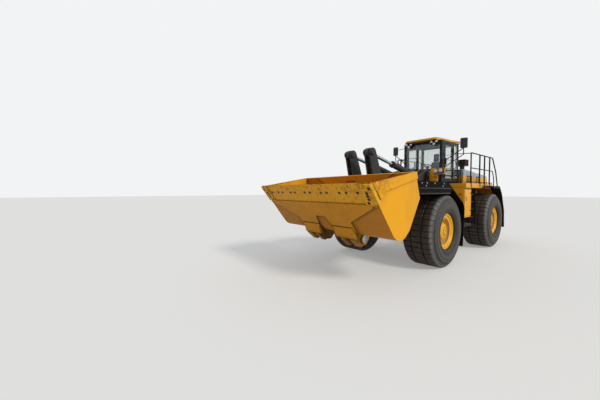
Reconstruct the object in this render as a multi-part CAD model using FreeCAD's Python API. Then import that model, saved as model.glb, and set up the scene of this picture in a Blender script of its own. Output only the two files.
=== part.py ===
import FreeCAD, Part
import math
import os
from FreeCAD import Vector

os.makedirs("parts", exist_ok=True)

# Large articulated wheel loader with a Z-bar linkage, in millimetres.
# X points forward, Y to the left, Z up. The sizes below count X from the articulation pin,
# which is midway between the axles, and every piece is shifted at the end so that the origin
# lies under the middle of the machine's length.

# Wheels and axles
WHEELBASE = 5450
TYRE_R = 1300
TYRE_W = 1170
TYRE_ROOM = 155
GROOVE_Y = 185
GROOVE_W = 40
GROOVE_DEPTH = 45
RIM_R = 637
HUB_R = 250
HUB_IN = 200
HUB_OUT = 420
RING_R = 455
AXLE_R = 270
AXLE_SEAT_R = 410
TIE_HOLE = Vector(700, 0, 900)
TIE_R = 45
AXLE_X = WHEELBASE / 2

# Fits between pieces that move against each other
PIN_FIT = 0.08
SIDE_GAP = 10
SEAT_GAP = 0.3

# Lift arm pivot, bucket pin, bellcrank and link pins, with the bucket rolled back for carrying
ARM_PIVOT = Vector(1250, 0, 3350)
BUCKET_PIN = Vector(5900, 0, 1230)
CRANK_PIVOT = Vector(4350, 0, 2700)
CRANK_TOP = Vector(4880, 0, 4090)
CRANK_LOW = Vector(4460, 0, 1420)
BUCKET_ROLL = 51.4
EAR_X = 20
EAR_Z = 385
TILT_FOOT = Vector(1340, 0, 3310)
LIFT_FOOT = Vector(380, 0, 1600)
LIFT_EYE = Vector(2536, 0, 2192)

# Side planes of the linkage, measured from the middle of the machine
ARM_Y = (660, 860)
CRANK_Y = ((300, 360), (500, 560))
LINK_Y = (370, 490)
LUG_Y = ((500, 580), (920, 1000))
TOWER_Y = ((560, 620), (900, 960))
BRACKET_Y = ((235, 285), (575, 635))
CYL_Y = 760
TILT_Y = 430
TRACK = 2 * (TOWER_Y[1][1] + TYRE_ROOM) + TYRE_W

# Pins
PIN_R = 110
SMALL_PIN_R = 80

# Bucket, in its own frame: the pin at the origin and the floor level
BUCKET_HALF = 2370
CUTTER_T = 35
SHELL_T = 45
FLOOR_Z = -240
HEEL_X = 170
HEEL_R = 470
BACK_TOP = (510, 1430)
SPILL_TOP = (1265, 1700)
FLOOR_FRONT = 1690
LIP_X = 2345
LIP_Z = -215
EDGE_T = 75
WEAR_T = 30

# Articulation and steering cylinders
HITCH_PIN_R = 100
HITCH_R = 230
HITCH_UPPER_Z = 2050
HITCH_LOWER_Z = 900
HITCH_EAR_T = 120
STEER_FOOT = (-1750, 580)
STEER_EYE = (270, 740)
STEER_Z = 1240

# Cab and deck
CAB_HALF = 910
CAB_FRONT = 100
CAB_REAR = -1800
CAB_FLOOR_Z = 3150
CAB_EAVE_Z = 5060
ROOF_T = 110
SILL_Z = CAB_FLOOR_Z + 0.393 * (CAB_EAVE_Z - CAB_FLOOR_Z)
DASH_Z = CAB_FLOOR_Z + 0.141 * (CAB_EAVE_Z - CAB_FLOOR_Z)
KICK_Z = CAB_FLOOR_Z + 0.089 * (CAB_EAVE_Z - CAB_FLOOR_Z)
DECK_Z = 3060
DECK_T = 190
DECK_RIM = 50
DECK_HALF = 1800
SADDLE_HALF = DECK_HALF - 620
DECK_FRONT = -200
DECK_REAR = -3900
POST = 110

# Hood, counterweight and rear end
HOOD_HALF = 1100
HOOD_FRONT = -1900
HOOD_REAR = -5620
HOOD_FRONT_Z = 3820
HOOD_REAR_Z = 3580
HOOD_BASE_Z = 2300
SHEET_T = 40
REAR_X = -5950
TOW_Z = 1570
TOW_PIN_R = 32.5
TOW_WELL_R = 50
RAIL_TOP_Z = 4450
RAIL_MID_Z = 3770
RAIL_R = 24
RAIL_IN = 25
POST_X = (-810, -1970, -2660, -3460)
LADDER_X = (-1400, -1010)
CABINET_Z = 1560
STAIR_X = (-4900, -3900)
WING_TOP_Z = 2350
STAIR_Z = WING_TOP_Z + SEAT_GAP

# Wheel guards
FENDER_Y = (1000, 2250)
FENDER_FRONT = 4970
FENDER_TOP_Z = 3040
FLARE_TOP_Z = 2970
SHEET = 40


def turned(x, z, angle):
    """The point x, z turned by angle degrees, nose up."""
    c = math.cos(math.radians(angle))
    s = math.sin(math.radians(angle))
    return x * c - z * s, x * s + z * c


LIP_REACH = BUCKET_PIN.x + turned(LIP_X, LIP_Z, BUCKET_ROLL)[0]
MID_X = (LIP_REACH + REAR_X) / 2


def corner_arc(before, corner, after, radius):
    """Start, middle and end of the arc that rounds a corner."""
    to_before = (before - corner).normalize()
    to_after = (after - corner).normalize()
    half = to_before.getAngle(to_after) / 2
    cut = radius / math.tan(half)
    inward = (to_before + to_after).normalize()
    centre = corner + inward * (radius / math.sin(half))
    middle = centre - inward * radius
    return corner + to_before * cut, middle, corner + to_after * cut


def outline_wire(points, place):
    """Closed wire through points (a, b) or (a, b, corner radius)."""
    corners = [place(p[0], p[1]) for p in points]
    count = len(corners)
    runs = []
    for i, point in enumerate(points):
        if len(point) == 3:
            runs.append(corner_arc(corners[i - 1], corners[i], corners[(i + 1) % count], point[2]))
        else:
            runs.append((corners[i],))
    edges = []
    for i, run in enumerate(runs):
        if len(run) == 3:
            edges.append(Part.Arc(*run).toShape())
        following = runs[(i + 1) % count][0]
        if run[-1].distanceToPoint(following) > 0.001:
            edges.append(Part.makeLine(run[-1], following))
    return Part.Wire(edges)


def side_plate(points, y):
    """Plate with an outline in X and Z, from y[0] to y[1]."""
    face = Part.Face(outline_wire(points, lambda a, b: Vector(a, y[0], b)))
    return face.extrude(Vector(0, y[1] - y[0], 0))


def flat_plate(points, z):
    """Plate with an outline in X and Y, from z[0] to z[1]."""
    face = Part.Face(outline_wire(points, lambda a, b: Vector(a, b, z[0])))
    return face.extrude(Vector(0, 0, z[1] - z[0]))


def box(x, y, z):
    """Block between the low and high values of x, y and z."""
    return Part.makeBox(x[1] - x[0], y[1] - y[0], z[1] - z[0], Vector(x[0], y[0], z[0]))


def rod(start, end, radius):
    """Round bar from start to end."""
    return Part.makeCylinder(radius, start.distanceToPoint(end), start, end - start)


def across(point, radius, y):
    """Round bar along Y through point, from y[0] to y[1]."""
    return rod(Vector(point.x, y[0], point.z), Vector(point.x, y[1], point.z), radius)


def upright(x, y, radius, z):
    """Round bar along Z."""
    return rod(Vector(x, y, z[0]), Vector(x, y, z[1]), radius)


def revolved(points, centre, y_out):
    """Body turned about the Y axis through centre; points are (radius, offset along Y)."""
    face = Part.Face(outline_wire(points, lambda a, b: Vector(a, b, 0)))
    solid = face.revolve(Vector(0, 0, 0), Vector(0, 1, 0), 360)
    if y_out < 0:
        solid = solid.mirror(Vector(0, 0, 0), Vector(0, 1, 0))
    return solid.translated(centre)


def fused(shapes):
    """One solid from shapes that overlap or touch."""
    shapes = list(shapes)
    return shapes[0].multiFuse(shapes[1:]).removeSplitter() if len(shapes) > 1 else shapes[0]


def mirrored(shape):
    """Copy on the other side of the machine."""
    return shape.mirror(Vector(0, 0, 0), Vector(0, 1, 0))


def pair(shapes):
    """The shapes of the left side and their mirror images."""
    shapes = list(shapes)
    return shapes + [mirrored(s) for s in shapes]


def capsule(start, end, radius, y):
    """Flat bar with round ends about start and end."""
    dx, dz = end.x - start.x, end.z - start.z
    length = math.hypot(dx, dz)
    nx, nz = -dz / length * radius, dx / length * radius
    bar = side_plate([(start.x + nx, start.z + nz), (end.x + nx, end.z + nz),
                      (end.x - nx, end.z - nz), (start.x - nx, start.z - nz)], y)
    return fused([bar, across(start, radius, y), across(end, radius, y)])


def save(name, shapes):
    """Write one node, shifted to the machine's origin."""
    shapes = list(shapes)
    shape = shapes[0] if len(shapes) == 1 else Part.makeCompound(shapes)
    shape = shape.translated(Vector(-MID_X, 0, 0))
    shape.exportStep("parts/" + name + ".step")


# Rear frame: two rails, cross members, hitch forks, tower under the cab and hood

RAIL_Y = (360, 430)
ENGINE_X = (-4150, -2250)
HOOD_BEARER_X = (-2200, -4300, -5300)


def hitch_fork(z):
    """Two round-nosed plates above and below one ear of the front frame, with their pin."""
    nose = [(-700, -330, 60), (-160, -HITCH_R, 120), (HITCH_R, -HITCH_R, HITCH_R - 5),
            (HITCH_R, HITCH_R, HITCH_R - 5), (-160, HITCH_R, 120), (-700, 330, 60)]
    reach = HITCH_EAR_T / 2 + SIDE_GAP
    low = flat_plate(nose, (z - reach - 80, z - reach))
    high = flat_plate(nose, (z + reach, z + reach + 80))
    pin = upright(0, 0, HITCH_PIN_R, (z - reach - 110, z + reach + 110))
    return [low, high, pin]


def make_steer_brackets():
    """Base plates on the rear rails with two ears and a pin for each steering cylinder's foot."""
    x, y = STEER_FOOT
    base = RAIL_Y[1] + SEAT_GAP
    shapes = [box((x - 220, x + 220), (base, base + 30), (STEER_Z - 200, STEER_Z + 200))]
    for z in ((STEER_Z - 145, STEER_Z - 95), (STEER_Z + 95, STEER_Z + 145)):
        shapes.append(flat_plate([(x - 200, base), (x - 110, y + 110, 90), (x + 110, y + 110, 90), (x + 200, base)], z))
    shapes.append(upright(x, y, SMALL_PIN_R * 0.7, (STEER_Z - 150, STEER_Z + 150)))
    save("steer_brackets", pair([fused(shapes)]))


def make_rear_frame():
    rail = [(-640, 700, 80), (-640, 2300, 80), (-1500, 2300, 200), (-2050, 2150, 200),
            (REAR_X + 500, 2150), (REAR_X + 500, 1350, 100), (-3500, 1250, 200),
            (-3150, 1780, 150), (-2300, 1780, 150), (-2000, 900, 200), (-1500, 700, 200)]
    left = [side_plate(rail, RAIL_Y)]
    cross = [box((-700, -640), (-RAIL_Y[0], RAIL_Y[0]), (720, 2280)),
             box((-1950, -1850), (-RAIL_Y[0], RAIL_Y[0]), (1500, 2140)),
             box((-4300, -4200), (-RAIL_Y[0], RAIL_Y[0]), (1500, 2140)),
             box((-3000, -2450), (-RAIL_Y[0], RAIL_Y[0]), (1790, 1990))]
    outrigger = []
    for x in (-700, -1700):
        outrigger.append(box((x, x + 90), (RAIL_Y[0], SADDLE_HALF), (2300, DECK_Z - DECK_T)))
        outrigger.append(box((x, x + 90), (-SADDLE_HALF, -RAIL_Y[0]), (2300, DECK_Z - DECK_T)))
    for x in HOOD_BEARER_X:
        for y in ((RAIL_Y[0], HOOD_HALF), (-HOOD_HALF, -RAIL_Y[0])):
            outrigger.append(box((x, x + 120), y, (2050, HOOD_BASE_Z)))
    saddle = box((-1800, -600), (-SADDLE_HALF, SADDLE_HALF), (2230, 2330))
    forks = hitch_fork(HITCH_UPPER_Z) + hitch_fork(HITCH_LOWER_Z)
    save("rear_frame", [fused(pair(left) + cross + outrigger + [saddle] + forks)])


def axle(x, y_pads):
    """Axle housing with a round middle, tapered arms and hub ends."""
    hub_y = TRACK / 2 - HUB_IN - SEAT_GAP
    profile = [(0, 0), (AXLE_R + 130, 0), (AXLE_R + 110, 180, 90), (AXLE_R - 40, 420, 90),
               (AXLE_R - 70, hub_y - 260), (AXLE_R + 20, hub_y - 240), (AXLE_R + 20, hub_y - 60),
               (HUB_R, hub_y), (0, hub_y)]
    arm = revolved(profile, Vector(x, 0, TYRE_R), 1)
    pads = [box((x - 190, x + 190), y_pads, (TYRE_R, TYRE_R + 480))]
    return fused([arm, mirrored(arm)] + pair(pads))


def make_rear_axle():
    save("rear_axle", [axle(-AXLE_X, (RAIL_Y[0] + 5, RAIL_Y[1] - 5))])


def make_counterweight():
    hood_gap = HOOD_REAR - REAR_X
    body = [(REAR_X, 1150, 120), (REAR_X, 2500, 160), (REAR_X + hood_gap, 2500),
            (REAR_X + hood_gap, HOOD_BASE_Z - 10), (REAR_X + 500, HOOD_BASE_Z - 10), (REAR_X + 500, 1150, 100)]
    block = side_plate(body, (-1300, 1300))
    wing = flat_plate([(REAR_X, 900), (REAR_X + 40, 1560, 160), (REAR_X + 1100, 1560, 60),
                       (REAR_X + 1100, 1380), (REAR_X + 400, 1250)], (1350, WING_TOP_Z))
    pocket = box((REAR_X - 10, REAR_X + 330), (-200, 200), (TOW_Z - 190, TOW_Z + 230))
    ears = [box((REAR_X + 40, REAR_X + 340), (-120, 120), z)
            for z in ((TOW_Z - 130, TOW_Z - 70), (TOW_Z + 70, TOW_Z + 130))]
    hole = upright(REAR_X + 150, 0, TOW_PIN_R, (TOW_Z - 131, TOW_Z + 131))
    well = upright(REAR_X + 150, 0, TOW_WELL_R, (TOW_Z + 131, 2510))
    block = fused([block] + pair([wing])).cut(pocket).cut(well)
    save("counterweight", [fused([block] + ears).cut(hole)])


def make_engine():
    save("engine", [box(ENGINE_X, (-RAIL_Y[1], RAIL_Y[1]), (2150, 3350))])


# Hood, grille and intake

VENT_X = ((-3080, -2420), (-4180, -3760))
VENT_Z = (3200, 3480)
VENT_ROWS = 6


def hood_block():
    """Outside of the hood as one block."""
    outer = [(HOOD_FRONT, HOOD_BASE_Z), (HOOD_FRONT, HOOD_FRONT_Z, 60),
             (HOOD_REAR, HOOD_REAR_Z, 250), (HOOD_REAR, HOOD_BASE_Z)]
    return side_plate(outer, (-HOOD_HALF, HOOD_HALF))


def make_engine_hood():
    inner = [(HOOD_FRONT - SHEET_T, HOOD_BASE_Z - 1), (HOOD_FRONT - SHEET_T, HOOD_FRONT_Z - SHEET_T),
             (HOOD_REAR - 1, HOOD_REAR_Z - SHEET_T), (HOOD_REAR - 1, HOOD_BASE_Z - 1)]
    shell = hood_block()
    shell = shell.cut(side_plate(inner, (-HOOD_HALF + SHEET_T, HOOD_HALF - SHEET_T)))
    vents = []
    for side in (-1, 1):
        for x in VENT_X:
            y = (HOOD_HALF - SHEET_T / 2) * side
            vents.append(box(x, (y - 30, y + 30), VENT_Z))
    shell = shell.cut(Part.makeCompound(vents))
    louvres = []
    for side in (-1, 1):
        for x in VENT_X:
            y = (HOOD_HALF - SHEET_T / 2) * side
            for row in range(VENT_ROWS):
                z = VENT_Z[0] + 12 + row * (VENT_Z[1] - VENT_Z[0]) / VENT_ROWS
                louvres.append(box((x[0] - 10, x[1] + 10), (y - 12, y + 12), (z, z + 24)))
    save("engine_hood", [fused([shell] + louvres)])


def make_radiator_grille():
    x = HOOD_REAR
    frame = box((x - 60, x), (-HOOD_HALF + 5, HOOD_HALF - 5), (2505, 3300))
    bars = []
    hole = box((x - 70, x + 10), (-HOOD_HALF + 130, HOOD_HALF - 130), (2600, 3220))
    for row in range(11):
        z = 2620 + row * 56
        bars.append(box((x - 50, x - 10), (-HOOD_HALF + 120, HOOD_HALF - 120), (z, z + 22)))
    for y in (-480, 0, 480):
        bars.append(box((x - 45, x - 15), (y - 20, y + 20), (2590, 3230)))
    save("radiator_grille", [fused([frame.cut(hole)] + bars)])


def make_intake_stacks():
    stem_z = HOOD_FRONT_Z - 130
    left = [upright(-2900, 700, 110, (stem_z, 4050)),
            box((-3140, -2660), (480, 920), (4050, 4380))]
    right = [upright(-3300, -650, 90, (stem_z - 60, 4300)), upright(-3300, -650, 130, (3850, 4150))]
    hood = hood_block()
    save("intake_stacks", [fused(left).cut(hood), fused(right).cut(hood)])


# Cab

DOOR_X = (-1106, CAB_FRONT - 294)
DOOR_Z = (CAB_FLOOR_Z + 4, CAB_EAVE_Z - 114)
DOOR_Y = (CAB_HALF - 45, CAB_HALF - 5)
DOOR_BAR = 90
HINGE_X = -1108
HINGE_Y = CAB_HALF + 28
HINGE_R = 12
DOOR_H = CAB_EAVE_Z - CAB_FLOOR_Z
HINGE_Z = (CAB_FLOOR_Z + 0.183 * DOOR_H, CAB_FLOOR_Z + 0.759 * DOOR_H)
KNUCKLE = 100


def door_knuckle(z):
    """Knuckle on the door, bored for the hinge pin, between z and z plus its height."""
    shape = fused([upright(HINGE_X, HINGE_Y, HINGE_R + 10, (z, z + KNUCKLE)),
                   box((HINGE_X, HINGE_X + 70), (DOOR_Y[1] - 1, HINGE_Y + 8), (z, z + KNUCKLE))])
    return shape.cut(upright(HINGE_X, HINGE_Y, HINGE_R + PIN_FIT, (z - 1, z + KNUCKLE + 1)))


def frame_knuckles(z):
    """Lugs on the door post above and below the door's knuckle, with the hinge pin."""
    shapes = [upright(HINGE_X, HINGE_Y, HINGE_R, (z - 50, z + KNUCKLE + 50))]
    for low in (z - 50, z + KNUCKLE + 1):
        shapes.append(upright(HINGE_X, HINGE_Y, HINGE_R + 10, (low, low + 49)))
        shapes.append(box((HINGE_X - 60, HINGE_X), (CAB_HALF - 1, HINGE_Y + 8), (low, low + 49)))
    return shapes


def make_cab_frame():
    floor = box((CAB_REAR, CAB_FRONT), (-CAB_HALF, CAB_HALF), (CAB_FLOOR_Z - 90, CAB_FLOOR_Z))
    posts = []
    for x0, x1 in ((CAB_FRONT - 290, CAB_FRONT), (-1230, -1110), (CAB_REAR, CAB_REAR + 110)):
        posts.append(box((x0, x1), (CAB_HALF - POST, CAB_HALF), (CAB_FLOOR_Z, CAB_EAVE_Z)))
    top = [box((CAB_REAR, CAB_FRONT), (CAB_HALF - POST, CAB_HALF), (CAB_EAVE_Z - 110, CAB_EAVE_Z))]
    right_wall = box((CAB_REAR, CAB_FRONT), (-CAB_HALF, -CAB_HALF + 50), (CAB_FLOOR_Z, SILL_Z))
    left_wall = box((CAB_REAR, -1110), (CAB_HALF - 50, CAB_HALF), (CAB_FLOOR_Z, KICK_Z))
    front_wall = box((CAB_FRONT - 50, CAB_FRONT), (-CAB_HALF, CAB_HALF), (CAB_FLOOR_Z, DASH_Z))
    rear_wall = box((CAB_REAR, CAB_REAR + 50), (-CAB_HALF, CAB_HALF), (CAB_FLOOR_Z, SILL_Z))
    cross = [box((x, x + 110), (-CAB_HALF + POST, CAB_HALF - POST), (CAB_EAVE_Z - 110, CAB_EAVE_Z))
             for x in (CAB_REAR, CAB_FRONT - 110)]
    hinges = [shape for z in HINGE_Z for shape in frame_knuckles(z)]
    save("cab_frame", [fused(hinges + [floor, right_wall, left_wall, front_wall, rear_wall]
                             + pair(posts + top) + cross)])


def make_cab_roof():
    outline = [(CAB_REAR - 120, -CAB_HALF - 60, 120), (CAB_FRONT + 230, -CAB_HALF + 160, 150),
               (CAB_FRONT + 230, CAB_HALF - 160, 150), (CAB_REAR - 120, CAB_HALF + 60, 120)]
    slab = flat_plate(outline, (CAB_EAVE_Z, CAB_EAVE_Z + ROOF_T))
    raised = box((-1500, -200), (-500, 500), (CAB_EAVE_Z + ROOF_T - 5, CAB_EAVE_Z + ROOF_T + 60))
    save("cab_roof", [fused([slab, raised])])


GLASS_T = 10


def make_cab_windows():
    top = CAB_EAVE_Z - 110 - SEAT_GAP
    half = CAB_HALF - POST - SEAT_GAP
    low = SILL_Z + SEAT_GAP
    front = box((CAB_FRONT - 30, CAB_FRONT - 30 + GLASS_T), (-half, half), (DASH_Z + SEAT_GAP, top))
    rear = box((CAB_REAR + 30, CAB_REAR + 30 + GLASS_T), (-half, half), (low, top))
    quarter = (CAB_REAR + 110 + SEAT_GAP, -1230 - SEAT_GAP)
    right = [box((-1110 + SEAT_GAP, CAB_FRONT - 290 - SEAT_GAP), (20 - CAB_HALF, 20 - CAB_HALF + GLASS_T),
                 (low, top)),
             box(quarter, (20 - CAB_HALF, 20 - CAB_HALF + GLASS_T), (low, top))]
    left = box(quarter, (CAB_HALF - 30, CAB_HALF - 30 + GLASS_T), (KICK_Z + SEAT_GAP, top))
    save("cab_windows", [front, rear, left] + right)


def make_cab_door():
    outer = box(DOOR_X, DOOR_Y, DOOR_Z)
    glass_x = (DOOR_X[0] + DOOR_BAR, DOOR_X[1] - DOOR_BAR)
    glass_z = (KICK_Z, DOOR_Z[1] - DOOR_BAR)
    hole = box(glass_x, (DOOR_Y[0] - 5, DOOR_Y[1] + 5), glass_z)
    handle = box((DOOR_X[1] - 80, DOOR_X[1] - 50), (DOOR_Y[1] - 2, DOOR_Y[1] + 50),
                 (SILL_Z + 50, SILL_Z + 350))
    knuckles = [door_knuckle(z) for z in HINGE_Z]
    save("cab_door", [fused([outer.cut(hole), handle] + knuckles)])
    middle = (DOOR_Y[0] + DOOR_Y[1]) / 2
    save("cab_door_glass", [box(glass_x, (middle - GLASS_T / 2, middle + GLASS_T / 2), glass_z)])


SEAT_X = -1050


def make_operator_seat():
    z = CAB_FLOOR_Z
    base = [box((SEAT_X - 200, SEAT_X + 200), (-200, 200), (z, z + 330)),
            box((SEAT_X - 220, SEAT_X - 80), (-301, 301), (z + 290, z + 330))]
    arms = [box((SEAT_X - 180, SEAT_X + 230), (300, 390), (z + 600, z + 660)),
            box((SEAT_X - 170, SEAT_X - 90), (290, 350), (z + 290, z + 610))]
    cushion_top = z + 470
    cushion = box((SEAT_X - 280, SEAT_X + 270), (-270, 270), (z + 330 + SEAT_GAP, cushion_top))
    back_low = cushion_top + SEAT_GAP
    back_top = z + round(0.5864 * DOOR_H)
    back = side_plate([(SEAT_X - 200, back_low), (SEAT_X - 330, back_top, 50),
                       (SEAT_X - 440, back_top, 50), (SEAT_X - 330, back_low)], (-260, 260))
    save("seat_base", [fused(base + pair(arms))])
    save("seat_cushions", [cushion, back])


def make_cab_console():
    z = CAB_FLOOR_Z
    column = rod(Vector(-330, 0, z), Vector(-525, 0, z + 818), 50)
    wheel = Part.makeTorus(210, 18, Vector(-525, 0, z + 820), Vector(-0.23, 0, 0.97))
    spoke = rod(Vector(-525, -205, z + 820), Vector(-525, 205, z + 820), 14)
    dash = box((-330, CAB_FRONT - 50), (-250, 250), (z, z + 420))
    side = box((-1000, -300), (-CAB_HALF + 50, -CAB_HALF + 300), (z, z + 620))
    floor = box((CAB_REAR, CAB_FRONT), (-CAB_HALF, CAB_HALF), (z - 90, z))
    save("cab_console", [fused([column, wheel, spoke, dash]).cut(floor), side])


def make_cab_lamps():
    lamps = []
    for y in (-600, 600):
        for dy, dz in ((-110, 40), (110, 40), (0, -70)):
            x = CAB_FRONT + 60
            lamps.append(fused([box((x, x + 90), (y + dy - 55, y + dy + 55),
                                    (CAB_EAVE_Z - 145 + dz, CAB_EAVE_Z - 55 + dz))]))
    bars = [box((CAB_FRONT + 20, CAB_FRONT + 61), (y - 160, y + 160), (CAB_EAVE_Z - 190, CAB_EAVE_Z))
            for y in (-600, 600)]
    save("cab_lamps", [fused([bars[0]] + lamps[:3]), fused([bars[1]] + lamps[3:])])


def make_mirrors():
    x, y, z = -320, 1640, 4850
    head = box((x - 40, x + 50), (y - 140, y + 150), (z - 225, z + 225))
    foot = Vector(CAB_FRONT - 120, CAB_HALF, 0)
    arms = [rod(Vector(foot.x, foot.y - 1, low), Vector(x, y - 100, z - 150), 22) for low in (3950, 4250)]
    stay = rod(Vector(foot.x, foot.y - 1, 4900), Vector(x, y - 100, z + 60), 16)
    cab = box((CAB_REAR, CAB_FRONT), (0, CAB_HALF), (CAB_FLOOR_Z, CAB_EAVE_Z))
    save("mirrors", pair([fused([head, stay] + arms).cut(cab)]))


# Deck, rails, ladders, cabinets and rear fenders

def make_decks():
    hood_x = HOOD_FRONT + 10
    left = [box((hood_x, DECK_FRONT), (CAB_HALF + 12, DECK_HALF), (DECK_Z - 40, DECK_Z)),
            box((DECK_REAR, hood_x), (HOOD_HALF + 5, DECK_HALF), (DECK_Z - 40, DECK_Z)),
            box((DECK_REAR, DECK_FRONT), (DECK_HALF - DECK_RIM, DECK_HALF), (DECK_Z - DECK_T, DECK_Z + 20)),
            box((DECK_FRONT - DECK_RIM, DECK_FRONT), (CAB_HALF + 12, DECK_HALF), (DECK_Z - DECK_T, DECK_Z + 20)),
            box((-1750, -600), (SADDLE_HALF - 60, SADDLE_HALF), (DECK_Z - DECK_T, DECK_Z - 39))]
    under = box((CAB_REAR - 60, -100), (-CAB_HALF - 12, CAB_HALF + 12), (DECK_Z - DECK_T, DECK_Z))
    save("decks", [fused(pair(left + rear_stair()) + [under])])


def rear_stair():
    """Stringers and treads from the deck's rear end down to the wing of the counterweight."""
    slope = [(STAIR_X[1], DECK_Z - 20), (STAIR_X[0], STAIR_Z + 120), (STAIR_X[0], STAIR_Z),
             (STAIR_X[0] + 180, STAIR_Z), (STAIR_X[1], DECK_Z - DECK_T)]
    y = (HOOD_HALF + 40, DECK_HALF - 280)
    pieces = [side_plate(slope, (low, low + 30)) for low in (y[0], y[1] - 30)]
    for step in range(3):
        x = STAIR_X[1] - 170 - step * 300
        z = DECK_Z - 175 - step * 185
        pieces.append(box((x - 240, x), y, (z - 30, z)))
    pieces.append(box((STAIR_X[1] - 40, STAIR_X[1] + 60), y, (DECK_Z - DECK_T, DECK_Z - 20)))
    return pieces


def make_handrails():
    y = DECK_HALF - RAIL_IN
    foot = Vector(STAIR_X[0] + 60, DECK_HALF - 296, STAIR_Z + 60)
    top_run = [Vector(POST_X[0], y, RAIL_TOP_Z), Vector(STAIR_X[1] - 20, y, RAIL_TOP_Z),
               Vector(-4530, y - 60, 3760), Vector(STAIR_X[0], y - 200, 2930), foot]
    mid_run = [Vector(POST_X[0], y, RAIL_MID_Z), Vector(STAIR_X[1] - 20, y, RAIL_MID_Z), Vector(-4200, y, 3390),
               Vector(-4330, y - 140, 3080), Vector(-4340, foot.y, STAIR_Z + 350)]
    shapes = [rod(Vector(x, y, DECK_Z + 20), Vector(x, y, RAIL_TOP_Z), RAIL_R) for x in POST_X]
    for run in (top_run, mid_run):
        shapes += [rod(start, end, RAIL_R) for start, end in zip(run, run[1:])]
        shapes += [Part.makeSphere(RAIL_R, point) for point in run[1:-1]]
    shapes.append(Part.makeSphere(RAIL_R, top_run[0]))
    band = box((DECK_REAR, DECK_FRONT), (DECK_HALF - 60, DECK_HALF), (DECK_Z - DECK_T, DECK_Z + 20))
    stairs = fused(rear_stair())
    save("handrails", pair([fused(shapes).cut(band).cut(stairs)]))


def make_ladders():
    x = LADDER_X
    y = ((SADDLE_HALF + DECK_HALF) / 2 - 10, DECK_HALF - DECK_RIM - SEAT_GAP)
    stringers = [box((low, low + 30), y, (1150, DECK_Z - 40)) for low in (x[0], x[1] - 30)]
    steps = [box(x, (y[0] + 20, y[1] - 20), (z, z + 40)) for z in (1150, 1500, 1850, 2200, 2550)]
    low_step = [box((x[1] - 30, -160), (y[0] + 60, y[1]), (1150, 1260)),
                box((-260, -220), (y[0] + 80, y[1] - 80), (1259, CABINET_Z - SEAT_GAP))]
    save("ladders", pair([fused(stringers + steps + low_step)]))


def make_cabinets():
    side = DECK_HALF - 60
    body = box((-1000, -150), (SADDLE_HALF + 20, side), (CABINET_Z, DECK_Z - DECK_T))
    door = box((-950, -200), (side - 1, side + 20), (CABINET_Z + 60, 2800))
    save("cabinets", pair([fused([body, door])]))


def make_rear_fenders():
    under, top = DECK_Z - DECK_T, FLARE_TOP_Z
    foot = [(-4230, 1710, 200), (-4300, 850), (-4265, 850), (-4195, 1725, 170)]
    sheet = [(-3890, under), (-3890, 2480, 120)] + foot + [(-3855, 2490, 90), (-3855, under)]
    flare = [(-2290, top), (-3350, top, 200), (-3790, 2540, 250)] + foot + [
        (-3755, 2525, 220), (-3335, top - 35, 170), (-2290, top - 35)]
    save("rear_fenders", pair([fused([side_plate(sheet, (1120, 1850)), side_plate(flare, (DECK_HALF, FENDER_Y[1]))])]))


# Front frame

def tower(y):
    """One plate of the loader tower, down to the axle."""
    outline = [(520, 700, 80), (520, 1440, 60), (290, 1500, 60), (270, 2250, 80), (780, 3100, 200), (980, 3650, 150),
               (1560, 3650, 200), (1700, 3000, 250), (2500, 2050, 300), (3200, 1900, 150),
               (3200, 1000, 200), (2300, 800, 200), (1200, 700, 200)]
    return side_plate(outline, y)


def hitch_ear(z):
    """Ear of the front frame between the rear frame's fork plates, with its bore."""
    half = HITCH_EAR_T / 2
    ear = flat_plate([(-HITCH_R, -HITCH_R, HITCH_R - 5), (450, -420), (450, 420),
                      (-HITCH_R, HITCH_R, HITCH_R - 5)], (z - half, z + half))
    bore = upright(0, 0, HITCH_PIN_R + PIN_FIT, (z - half - 1, z + half + 1))
    return ear, bore


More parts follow.
